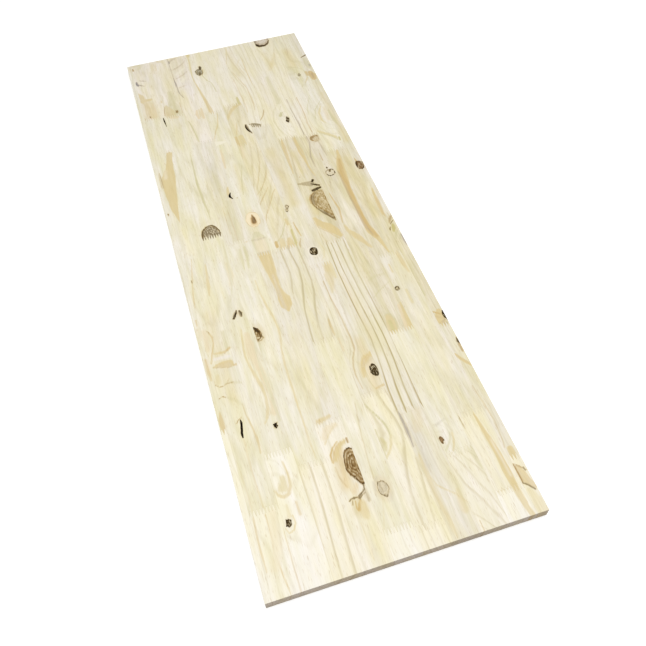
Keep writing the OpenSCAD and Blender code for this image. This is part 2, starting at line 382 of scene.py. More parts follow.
# %% Streaks of staves 1 to 3
# (stain, strength, half of the edge's softness in mm, then a path of (across, along, half width))
STREAKS = {
    (1, 1): [("umber", 0.35, 0.8, (7.5, 388, 0.2), (7.5, 402, 1.2), (7.8, 438, 1.2))],
    (1, 2): [
        ("amber", 0.6, 1.6, (6, 774, 1.6), (6, 786, 1.2)),
        ("amber", 0.45, 2, (5, 858, 2), (5, 880, 3), (6, 898, 1.6)),
        ("amber", 0.55, 1.3, (6, 958, 0.8), (5, 972, 3.6), (5, 985, 3.8), (6, 998, 0.8))],
    (2, 1): [
        ("olive", 0.45, 4, (14, 4, 4), (30, 6, 6), (24, 18, 4)),
        ("umber", 1, 1.6, (11, 14, 1.4), (11, 22, 2.2)),
        # Blue stain
        ("smoke", 0.5, 2, (32, 71, 1), (26, 68, 2), (20, 65, 1.2)),
        ("smoke", 0.7, 1.8, (27, 89, 0.8), (20, 84, 1.8), (15, 80, 2)),
        ("smoke", 0.85, 1.6, (12, 68, 1.2), (11, 76, 2.8), (14, 83, 2.2)),
        ("milk", 0.5, 1.4, (8.5, 81, 0.8), (10.5, 88, 2), (13, 95, 0.8)),
        ("tan", 0.75, 2.4, (8, 112, 2), (14, 128, 6), (18, 148, 6)),
        ("tan", 0.75, 2, (32, 143, 4), (22, 143, 5), (13, 145, 4)),
        ("tan", 0.45, 3, (20, 152, 4), (24, 185, 6), (28, 216, 5)),
        ("rose", 0.65, 1.6, (34, 160, 2), (35, 190, 3), (33, 216, 2)),
        ("amber", 0.35, 1.4, (18, 152, 1), (16, 185, 1.2), (18, 215, 1)),
        ("umber", 0.85, 1.2, (9.6, 206, 0.8), (9.8, 213, 1.2))],
    (2, 3): [
        # The long tan streak
        ("tan", 0.86, 1, (39, 336, 6), (35, 360, 6), (31, 385, 8), (25, 408, 13.5), (22, 440, 12),
            (21.5, 470, 9.5), (20.5, 500, 6.5), (22.5, 522, 2.8), (23, 540, 0.3)),
        ("rose", 0.6, 3, (22, 388, 3), (19, 408, 4)),
        ("umber", 0.8, 1, (9.8, 388, 0.6), (10, 412, 1.4), (10.2, 436, 0.8)),
        ("tan", 0.65, 1.4, (47, 655, 1), (44, 685, 2.4), (41, 710, 3), (38.5, 730, 1)),
        ("amber", 0.45, 1, (26, 635, 0.6), (20, 670, 1), (16, 695, 1.2), (12, 725, 1), (10, 748, 0.6)),
        ("olive", 0.6, 4, (44, 812, 3), (44, 845, 4)),
        ("rose", 0.6, 3, (13, 801, 4), (15, 815, 5), (13, 840, 4)),
        ("amber", 0.6, 1.2, (21.5, 808, 1.2), (24.3, 818, 1.3), (24, 830, 1.2), (20, 842, 1.3),
            (16, 855, 1.2), (12.5, 868, 1)),
        ("umber", 0.7, 1, (18, 801, 0.7), (21.5, 807, 1.5)),
        ("amber", 0.8, 1.6, (47, 846, 2.5), (43, 849, 3), (38, 852, 1.8)),
        ("umber", 0.35, 0.9, (41, 852.5, 0.7), (37, 854.5, 0.8)),
        ("tan", 0.75, 1.4, (36, 852, 2.2), (28, 851, 2.2), (20, 850.5, 1.4)),
        ("lilac", 0.6, 2, (42, 862, 3), (20, 861, 3)),
        ("tan", 0.8, 1.6, (40, 876, 7), (30, 875, 6), (20, 874.5, 3.4), (14, 876, 1.4)),
        ("amber", 0.45, 1.4, (38, 878, 5), (24, 876, 3)),
        ("umber", 0.4, 0.9, (42, 884, 0.7), (30, 881, 0.8), (18, 877.6, 1), (13, 876.5, 0.8)),
        ("amber", 0.6, 1.2, (50, 881, 2.2), (46, 881, 2)),
        ("tan", 0.35, 3, (17, 894, 3), (14, 905, 5)),
        ("olive", 0.35, 1.8, (50, 917, 1.6), (42, 914, 2.2), (34, 911, 2.4), (27, 911, 1.6)),
        ("umber", 0.75, 0.9, (38, 912.5, 0.6), (34, 911.5, 1.2), (28, 911.5, 1), (21, 914.5, 0.8),
            (16, 914.5, 0.8), (10.5, 909.5, 1.3)),
        ("umber", 0.5, 0.9, (34, 903, 0.5), (29, 909, 0.7)),
        ("olive", 0.35, 2, (41, 956, 1.6), (36, 947, 2.4), (29, 941, 2.4), (22, 936, 1.6)),
        ("umber", 1, 0.9, (22, 936, 0.7), (17, 933, 1.4), (13, 933.5, 0.9), (10.5, 934.5, 1.2)),
        ("amber", 0.5, 1.1, (42, 955, 0.7), (43, 975, 1), (47, 1000, 1.4), (49, 1020, 1.6), (48, 1045, 1)),
        ("umber", 0.75, 0.9, (35, 977, 0.7), (30, 980, 1), (26, 985, 0.8)),
        ("amber", 0.25, 0.9, (30, 1013, 0.8), (29, 1040, 1), (29.5, 1080, 1), (31, 1127, 1)),
        ("amber", 0.2, 1, (12, 1045, 0.6), (14, 1080, 1.1), (15, 1108, 1.2), (15, 1127, 1))],
    (2, 4): [
        ("amber", 0.55, 1, (31, 1134, 1), (31, 1150, 1.1), (30, 1200, 1.2), (33, 1230, 0.9),
            (35, 1250, 0.6)),
        ("amber", 0.45, 1.2, (14, 1134, 1), (13, 1150, 1.5), (12, 1180, 1.6), (13, 1212, 0.9)),
        ("umber", 0.3, 1, (49, 1165, 0.5), (48.5, 1205, 1.2), (48.5, 1251, 1)),
        ("amber", 0.45, 1, (43, 1134, 1), (40, 1165, 0.8)),
        ("rose", 0.35, 4, (40, 1136, 5), (36, 1180, 7), (24, 1210, 6))],
    (3, 1): [
        ("honey", 0.5, 3, (68, 3, 4), (78, 8, 4)),
        ("tan", 0.55, 1.4, (66, 5, 0.8), (61, 40, 1)),
        ("olive", 0.55, 4, (76, 132, 5), (77, 152, 9), (74, 175, 8)),
        ("tan", 0.5, 2, (60, 180, 4), (64, 198, 9), (66, 218, 13)),
        ("olive", 0.4, 2, (80, 182, 6), (82, 218, 8)),
        ("amber", 0.4, 2, (58, 205, 5), (62, 218, 8)),
        ("amber", 0.5, 1.4, (53, 155, 1), (53, 162, 2)),
        ("umber", 0.8, 0.9, (56, 180, 0.8), (53, 200, 1), (51.6, 214, 0.9)),
        ("umber", 0.45, 1.2, (90, 175, 0.8), (90, 216, 0.9))],
    (3, 2): [
        ("rose", 0.7, 2, (64, 221, 5), (76, 224, 4)),
        ("olive", 0.85, 1.2, (79, 352, 0.8), (78, 370, 1.2), (76, 420, 1.5), (75, 450, 2.2), (77, 500, 2),
            (79, 530, 1.2), (79, 550, 0.6)),
        # The edge of the knot that the finger joint cuts through
        ("bark", 0.65, 1.6, (67, 567, 1.6), (59, 574, 1.8), (56, 585, 1.8), (57, 595, 1.2)),
        ("bark", 0.3, 1.4, (76, 566, 1.2), (84, 573, 1.6), (88, 584, 1.4))],
    (3, 3): [
        ("tan", 0.4, 3, (84, 668, 3), (83, 700, 5), (79, 718, 4)),
        ("olive", 0.45, 1.6, (88, 605, 1), (86, 660, 1.6), (82, 712, 2), (76, 735, 1.2), (70, 756, 0.6)),
        # Two bark pockets, side by side
        ("slate", 0.85, 1.2, (78.6, 778, 1.2), (79, 784, 1.6), (79, 790, 1)),
        ("bark", 0.92, 0.9, (79.6, 777.5, 1.4), (81.4, 783, 1.9), (80.6, 791, 1)),
        ("slate", 0.5, 1.2, (71.5, 780, 1.6), (67, 787, 1.6)),
        ("bark", 1, 0.9, (74.4, 775.5, 1.2), (73, 781, 1.9), (70, 786, 2.1), (67, 791, 2.2)),
        ("rose", 0.7, 3, (80, 830, 5), (79, 870, 8), (84, 910, 5), (87, 950, 3), (84, 985, 5)),
        ("tan", 0.6, 1.2, (73, 815, 1), (71, 835, 1.6), (68, 855, 1.8), (67, 870, 1.8), (69, 890, 2),
            (73, 910, 2.4), (78, 935, 2.4), (79, 955, 2.2), (77, 975, 2.4), (72, 990, 2.2), (66, 999, 1)),
        ("olive", 0.45, 1.6, (86, 856, 0.8), (85, 900, 1.2), (87, 950, 2), (89, 1000, 1.4)),
        ("bark", 0.4, 1, (84, 1002, 1.2), (82, 1005, 1.6), (79, 1010, 1.4))],
    (3, 4): [
        ("honey", 0.65, 3, (68, 1092, 5), (65, 1106, 7)),
        ("tan", 0.65, 1.4, (74, 1066, 1), (76.5, 1088, 1.6), (75, 1105, 2.4), (70, 1116, 2.6),
            (62, 1119, 2.6), (55, 1114, 1.8), (51.6, 1105, 1)),
        ("amber", 0.45, 0.8, (73, 1116, 0.8), (65, 1121, 1), (57, 1118, 0.8)),
        ("amber", 0.4, 1.6, (76.5, 1131, 1.8), (76.5, 1150, 2)),
        ("tan", 0.65, 1.1, (66, 1148, 0.8), (67, 1160, 1.1), (62, 1169, 1.4), (55, 1171, 1.1),
            (51.8, 1163, 0.7)),
        ("tan", 0.35, 2, (62, 1132, 2), (62, 1148, 2.4))],
}
print(len(STREAKS), "blocks so far")

# %% [markdown]
# In the next two, blue stain has crept in from the far end, and bark lies in the knots.

# %% Streaks of staves 4 and 5
STREAKS |= {
    (4, 1): [
        # Blue stain along the glue line
        ("smoke", 0.45, 1.2, (93.2, 0, 0.8), (93.4, 60, 0.9), (93.6, 118, 1)),
        ("smoke", 0.4, 3, (110, 6, 2), (102, 9, 3.5), (97, 14, 3)),
        ("smoke", 0.7, 1.8, (94, 12, 1.2), (95.5, 18, 2.2), (94, 23, 1)),
        ("smoke", 0.55, 1.6, (93.6, 45, 1.2), (93.8, 53, 1.4)),
        ("smoke", 0.75, 1.2, (94, 83, 1), (94, 92, 1.4), (94.4, 103, 1.8), (94.6, 114, 1.4)),
        ("smoke", 0.55, 1.1, (95, 114, 1.2), (95, 135, 1.2), (98, 150, 1), (102, 161, 0.6)),
        # Blue stain that runs slantwise across
        ("smoke", 0.34, 2.4, (130, 22, 1), (124, 32, 1.8), (112, 42, 2.2), (98, 49, 1.8)),
        ("smoke", 0.32, 2.4, (128, 65, 1), (118, 75, 1.8), (108, 82, 2), (95, 87, 1.6)),
        ("smoke", 0.28, 2.4, (116, 117, 1.2), (100, 122, 1.6)),
        ("milk", 0.8, 3, (124, 50, 2), (112, 62, 3), (102, 70, 3)),
        ("milk", 0.8, 3, (120, 88, 2), (110, 100, 4)),
        ("rose", 0.85, 1.6, (130, 212, 2), (129, 228, 4), (129, 246, 3)),
        ("rose", 0.85, 1.6, (120, 216, 2.4), (118, 230, 4), (119, 245, 2.4)),
        ("tan", 0.6, 1.2, (125, 214, 1.2), (124, 240, 1.2)),
        ("olive", 0.3, 1.2, (100, 168, 0.6), (98, 200, 0.8), (104, 235, 0.6)),
        ("olive", 0.85, 1.1, (95, 244, 0.8), (98, 256, 1.3), (101, 280, 1.4), (104, 321, 1.1))],
    (4, 2): [
        ("tan", 0.7, 1.4, (129, 474, 1.2), (127, 484, 2.8), (125, 495, 2.6)),
        ("rose", 0.7, 1.4, (127, 508, 2), (124, 517, 1.2)),
        ("olive", 0.35, 4, (122, 515, 5), (118, 560, 9), (117, 618, 10)),
        ("umber", 0.4, 1, (114, 535, 0.7), (115, 580, 1.1), (115, 618, 0.8)),
        ("umber", 0.35, 1, (107, 525, 0.7), (106, 600, 1))],
    (4, 3): [
        ("tan", 0.8, 1.6, (131, 627, 1.2), (125, 628, 1)),
        ("olive", 0.55, 1.6, (122, 638, 2), (121, 660, 3), (118, 690, 1)),
        ("olive", 0.5, 1.6, (113, 642, 2), (112, 668, 2.6), (110, 690, 1)),
        ("tan", 0.65, 1.8, (121, 720, 0.8), (122, 752, 1.2), (126, 785, 1.6), (130, 810, 1.8),
            (132, 835, 1.6), (130, 855, 1.6), (126, 875, 1.6), (123, 900, 1.5), (121, 1000, 1.1),
            (121, 1078, 0.6)),
        ("bark", 1, 0.9, (94, 820.5, 2), (96.5, 827, 2.8), (100, 833, 2)),
        ("bark", 0.65, 1, (99, 833, 1.6), (101.5, 840, 2), (104, 845, 1.2)),
        ("bark", 0.5, 0.9, (103.5, 845, 1), (99, 848.5, 1.2), (94, 849, 1.4)),
        ("sap", 1, 0.7, (94, 842, 1), (97.5, 842.5, 1.3)),
        ("olive", 0.45, 1.6, (95.5, 853, 1.4), (94, 866, 1.8), (93.4, 880, 0.6))],
    (5, 1): [
        ("honey", 1, 2, (141, 0, 4), (141, 9, 4)),
        ("honey", 0.95, 1.3, (140, 8, 1.6), (139, 40, 1.8), (136.5, 66, 1.6), (135, 90, 1.4),
            (135.2, 110, 1.4)),
        ("tan", 0.8, 1.2, (135.2, 108, 1), (138, 130, 1.6), (141, 152, 2), (143, 172, 2.6), (146, 200, 3.6),
            (149, 238, 4.6)),
        ("amber", 0.45, 1.4, (147, 195, 1.2), (150, 236, 2)),
        ("olive", 0.8, 1, (157, 94, 0.8), (163, 115, 1.3), (171, 128, 1.2), (173.5, 150, 1),
            (174, 166, 0.7)),
        # Bark in the twin knots
        ("bark", 0.9, 1.2, (158, 56, 1), (158, 64, 2.2), (157, 70, 1.4)),
        ("bark", 0.7, 1.2, (154.5, 79, 1.2), (153.5, 86, 2.2), (152, 93, 1.2)),
        ("bark", 0.25, 1, (149, 70, 1), (146.4, 79, 1.2), (148, 88, 1)),
        ("bark", 0.6, 1, (162, 72, 1), (161, 84, 1), (157, 92, 0.8))],
    (5, 2): [
        ("amber", 0.45, 1.1, (159, 240, 0.8), (158, 250, 1.2), (152, 280, 1.4), (143, 300, 1.5),
            (135.5, 325, 1.2)),
        ("milk", 0.95, 1.2, (137, 339, 6.5), (143, 339, 5.6), (150, 339, 3.4), (155, 339, 1.8),
            (158, 339.5, 0.5)),
        ("rose", 0.85, 1.6, (140, 360, 1.4), (139, 385, 2.8), (137, 420, 1.8)),
        ("olive", 0.7, 1.1, (170, 420, 0.8), (160, 460, 1.3), (153, 505, 1)),
        # The brown heart of the knot
        ("rust", 0.36, 3, (154, 574, 5), (154, 588, 5.5)),
        ("rust", 1, 1.2, (155, 563, 0.8), (155, 573, 4), (154.5, 583, 5.2)),
        ("walnut", 0.9, 1.2, (155, 566, 0.8), (155.4, 574, 2), (154.5, 583, 2.8)),
        ("bark", 0.6, 1, (139.5, 509, 1.2), (139.5, 510, 1.2)),
        ("olive", 0.55, 1.6, (151, 615, 7), (152, 630, 13.5), (152, 669, 12.5)),
        ("rose", 0.5, 2, (152, 634, 10), (152, 669, 11)),
        ("slate", 0.45, 1.6, (164, 628, 1), (150, 629, 1.2), (138, 628, 1)),
        ("slate", 0.3, 2, (162, 664, 1.5), (152, 664, 1.5), (141, 664, 1.5)),
        ("walnut", 0.95, 0.9, (155.5, 569, 0.8), (157.6, 577, 1.3), (158, 581, 1.2)),
        ("walnut", 0.9, 0.9, (154.4, 573, 0.8), (153.4, 580, 1.2), (154.4, 585, 1))],
    (5, 3): [
        ("tan", 0.9, 1.6, (152, 660, 12.5), (152.5, 700, 9.5), (153.5, 730, 6.5), (154, 750, 5),
            (156, 765, 6.5), (158, 778, 11), (158, 790, 10), (158, 797, 6), (158, 805, 1.5)),
        ("amber", 0.35, 1.8, (153, 720, 2.5), (153, 776, 2.5), (155, 800, 2)),
        ("tan", 0.7, 2.4, (161, 1017, 2.5), (152, 1019, 4), (143, 1022, 5)),
        ("amber", 0.9, 1, (145, 1017, 0.8), (144, 1022, 1.2))],
    (5, 4): [
        ("rose", 0.5, 3, (164, 1034, 4), (150, 1038, 6), (142, 1050, 4)),
        ("tan", 0.6, 1.6, (166, 1032, 0.9), (157, 1040, 1.3), (149, 1048, 1.6), (140, 1060, 1.2)),
        ("tan", 0.95, 3.5, (170, 1063, 2.5), (161, 1067, 4), (153, 1076, 5), (147.5, 1088, 3.5)),
        ("amber", 0.9, 1.1, (158, 1061, 0.8), (149, 1069, 1.3), (143, 1079, 1.6), (141.5, 1091, 0.9)),
        ("amber", 0.75, 0.9, (164, 1062, 0.7), (154, 1069, 0.9), (147, 1080, 1), (143.5, 1092, 0.8)),
        ("umber", 0.85, 1.1, (173, 1060, 1.8), (173, 1067, 1.6)),
        ("slate", 0.3, 1.4, (143.5, 1099, 0.7), (144, 1115, 0.9), (147, 1125, 0.9), (151, 1134, 0.7)),
        ("rose", 0.9, 3, (163, 1133, 3), (158, 1142, 4)),
        ("slate", 0.45, 2, (172, 1143, 2), (173, 1160, 2.4)),
        ("bark", 0.2, 0.9, (173.6, 1078, 1), (174.2, 1096, 1.3), (174, 1114, 1.2)),
        ("bark", 0.6, 1, (173, 1087, 0.9), (166, 1090, 1.1), (161, 1098, 1.1), (159.5, 1108, 1.1),
            (162, 1116, 1)),
        ("bark", 0.45, 1.6, (171, 1101, 1.4), (167, 1107, 2.6), (170, 1114, 1.6)),
        ("bark", 0.7, 1, (161.5, 1118, 1.2), (164, 1122, 1.5), (168, 1129, 1.3), (173, 1137, 1.5)),
        ("bark", 0.8, 0.9, (173, 1137, 1.2), (171.5, 1143, 1.3), (167, 1147, 1.3), (162, 1150, 1.5),
            (161, 1153, 1.9)),
        ("bark", 0.75, 0.9, (171, 1148, 0.8), (166, 1150.5, 0.8), (163, 1153, 0.9)),
        ("bark", 0.75, 0.9, (160, 1151.5, 1), (156, 1151, 1.2), (153, 1151, 1.9), (150, 1151, 1),
            (146.5, 1153.5, 0.9)),
        ("bark", 0.6, 0.9, (151, 1154, 0.8), (149, 1160, 0.8)),
        ("amber", 0.9, 1.2, (161, 1156, 1.2), (158.5, 1162, 2), (155, 1169, 2.4)),
        ("amber", 0.8, 0.9, (154, 1156, 0.8), (152.5, 1166, 1)),
        ("tan", 0.5, 3, (164, 1162, 4), (162, 1180, 5)),
        ("tan", 0.3, 1, (151, 1187, 0.6), (151, 1240, 0.8))],
}
print(len(STREAKS), "blocks so far")

# %% [markdown]
# These two have torn bark pockets, and streaks that follow the drawn growth rings.

# %% Streaks of staves 6 and 7
STREAKS |= {
    (6, 1): [("moss", 0.75, 1.6, (212, 200, 1.4), (211.5, 212, 3.2), (211, 226, 3.8))],
    (6, 2): [
        ("moss", 0.95, 2, (214, 222, 2), (206, 222, 5)),
        ("tan", 0.7, 2.6, (213, 226, 3.4), (206, 229, 4.2), (198, 234, 4.4), (188, 245, 4), (180, 258, 3.4),
            (176.6, 271, 2)),
        ("tan", 0.55, 1.1, (191, 288, 0.8), (187, 306, 1.3), (182, 326, 1.2)),
        ("honey", 0.9, 1.4, (189, 334, 5.5), (189, 364, 6.5)),
        ("tan", 0.45, 1.6, (188, 345, 3), (188, 364, 4)),
        ("amber", 0.6, 1.6, (179, 332, 2), (179, 348, 2.8), (179.5, 364, 2.8)),
        # A bark pocket like a new moon
        ("slate", 0.7, 1.2, (208, 299, 1.4), (208.4, 308, 3.2), (210, 318, 3), (213, 327, 1.6)),
        ("bark", 0.95, 1, (207, 299, 1.4), (206.6, 307, 2.6), (208, 316, 2.6), (211, 324, 2),
            (214, 331, 0.8)),
        ("milk", 1, 0.8, (213.4, 302, 1.6), (213.8, 314, 2.4), (215, 325, 1.2)),
        ("slate", 1, 1, (216.4, 302, 1.4), (215, 300, 1))],
    (6, 3): [
        ("rose", 0.6, 3, (182, 362, 3), (180, 400, 2)),
        ("umber", 0.22, 1.1, (213, 380, 0.6), (210, 400, 0.9), (206, 425, 1), (198, 450, 1.1), (190, 475, 1),
            (180, 500, 0.7)),
        ("umber", 0.32, 1.1, (213, 450, 0.8), (205, 475, 1.3), (190, 500, 1.1), (178, 515, 0.8)),
        ("umber", 0.4, 1.1, (203, 500, 0.6), (190, 520, 1.2), (180, 535, 1.2), (176.4, 543, 0.9)),
        ("umber", 0.36, 1.1, (214, 510, 0.9), (207, 520, 1.3), (200, 535, 1.3), (188, 560, 1.3),
            (180, 575, 1.1), (176.5, 588, 0.8)),
        ("olive", 0.8, 1.3, (213, 595, 1), (205, 610, 1.4), (196, 630, 1.4), (188, 640, 1.4),
            (178, 650, 1.2)),
        ("tan", 0.75, 1.2, (211, 596, 2.4), (211.5, 610, 2.8)),
        ("moss", 0.8, 1.4, (214, 625, 1.6), (213, 645, 2.4), (212, 665, 2.6)),
        ("tan", 0.7, 2, (204, 646, 4), (203, 670, 8)),
        ("tan", 0.6, 2, (190, 644, 4), (188, 670, 7)),
        ("amber", 0.6, 1.4, (199, 650, 1.4), (198, 669, 2)),
        ("amber", 0.9, 1.4, (179, 646, 2.6), (178.5, 658, 2.8))],
    (6, 4): [("amber", 0.5, 1.2, (215.4, 843, 1.2), (214.6, 858, 2), (214.8, 877, 1))],
    (6, 5): [
        ("slate", 0.3, 1, (205, 1005, 0.8), (196, 1060, 0.9), (191, 1110, 0.9), (190, 1136, 1)),
        ("grey", 0.4, 2.6, (194, 1132, 1.5), (188, 1138, 2), (186, 1150, 1)),
        ("grey", 0.2, 2.6, (207, 1160, 2), (201, 1170, 1.6)),
        ("sap", 0.35, 1.2, (204, 1152, 0.8), (202, 1157, 1.8), (197, 1160, 1)),
        ("tan", 0.25, 1, (190, 1168, 0.8), (185, 1185, 1), (176.4, 1209, 0.7))],
    (7, 1): [
        ("tan", 0.65, 1.1, (256, 52, 0.7), (255, 110, 1.3), (255.5, 170, 0.9)),
        ("tan", 0.45, 1.2, (250, 60, 0.7), (241, 82, 1.2), (245, 110, 1.3), (252, 132, 0.9)),
        ("tan", 0.5, 1.2, (233, 4, 0.9), (225, 40, 1.2), (218.5, 72, 1)),
        ("umber", 0.38, 1.1, (222, 100, 0.6), (228, 120, 1), (235, 150, 1.2), (241, 175, 1.3),
            (241, 235, 1.3), (238, 258, 0.8)),
        ("umber", 0.25, 1.1, (218, 120, 0.6), (221, 150, 1.1), (222, 180, 1.2), (224, 235, 1.3),
            (221, 262, 0.8)),
        ("umber", 0.6, 1.1, (257, 262, 0.8), (254, 271, 1.2), (248, 285, 1.4), (240, 296, 1)),
        # Bark that the finger joint cuts into a comb
        ("slate", 0.85, 1.4, (219.6, 300.8, 2.4), (228, 304.4, 3.4), (236, 309.4, 2.4)),
        ("slate", 1, 0.9, (235.6, 310, 1.3), (237.4, 320, 1)),
        ("bark", 0.5, 1, (221, 309, 0.8), (229, 313, 0.9), (236, 317, 0.7)),
        ("slate", 1, 0.9, (231.4, 308, 1.3), (233, 320, 1)),
        ("slate", 1, 0.9, (227.2, 306, 1.3), (228.8, 319, 1)),
        ("slate", 1, 0.9, (223, 305, 1.3), (224.4, 317, 1)),
        ("slate", 1, 0.9, (219, 303.5, 1.2), (220.2, 314, 0.9))],
    (7, 2): [
        ("amber", 0.85, 1, (222, 608, 0.8), (224, 625, 1.2), (226.5, 646, 0.9)),
        ("umber", 0.6, 1, (224, 652, 0.9), (218.5, 665, 1.2), (217.6, 673, 0.8)),
        ("milk", 0.6, 1.2, (218.6, 612, 1.2), (218.6, 650, 1.2)),
        ("milk", 0.5, 1.2, (237, 677.6, 1.5), (244, 681, 1.5), (247.4, 690, 1.5), (244, 699, 1.5),
            (237, 702.4, 1.5), (230, 699, 1.5), (226.8, 690, 1.5), (230, 681, 1.5), (237, 677.6, 1.5)),
        ("tan", 0.45, 1, (252, 672, 0.5), (256, 690, 0.9), (251, 708, 0.8), (242, 717, 0.5)),
        ("grey", 0.4, 1.4, (223, 678, 0.8), (219.5, 690, 1), (222, 704, 0.8))],
    (7, 3): [
        ("tan", 0.65, 2.4, (250, 726, 8), (248, 750, 8)),
        ("tan", 0.5, 3, (246, 752, 8), (244, 772, 5), (240, 790, 2)),
        ("honey", 0.7, 2, (256.5, 730, 2), (255, 760, 2)),
        ("umber", 0.5, 1.1, (232, 762, 0.8), (233, 800, 1.1), (236, 850, 1.2), (238, 895, 1.2),
            (236, 915, 1.2), (228, 930, 1.1), (224, 945, 1), (222, 960, 1), (224, 988, 0.8)),
        ("tan", 0.95, 3, (258, 928, 3.2), (254, 932, 4.2), (247, 935, 5), (240, 943, 5), (236, 955, 4),
            (234, 968, 2)),
        ("amber", 0.4, 1.2, (252, 934, 1.6), (244, 939, 2), (238, 950, 1.8)),
        ("amber", 0.5, 1.4, (257, 991, 2), (250, 992.5, 2.2), (244, 994, 1.4)),
        ("rose", 0.75, 1.2, (218.8, 885, 1.2), (218.8, 912, 1.2))],
    (7, 4): [
        ("moss", 0.5, 2, (221, 1076, 1.6), (224, 1086, 3.4), (221, 1096, 2.6)),
        ("olive", 0.75, 1, (218.2, 1060, 0.9), (218.2, 1110, 1.1)),
        ("olive", 0.95, 1.4, (217, 1014, 0.8), (222, 1027, 1.4), (229, 1041, 1.6), (234, 1054, 1.6),
            (236, 1066, 1.4), (235.6, 1079, 1.2)),
        ("honey", 0.8, 1.6, (236, 1076, 1.2), (232, 1090, 1.8), (225.6, 1100, 1.8), (218, 1108, 1.2))],
}
print(len(STREAKS), "blocks so far")

# %% [markdown]
# Here the glue line cuts through a spike knot that has resin round it.

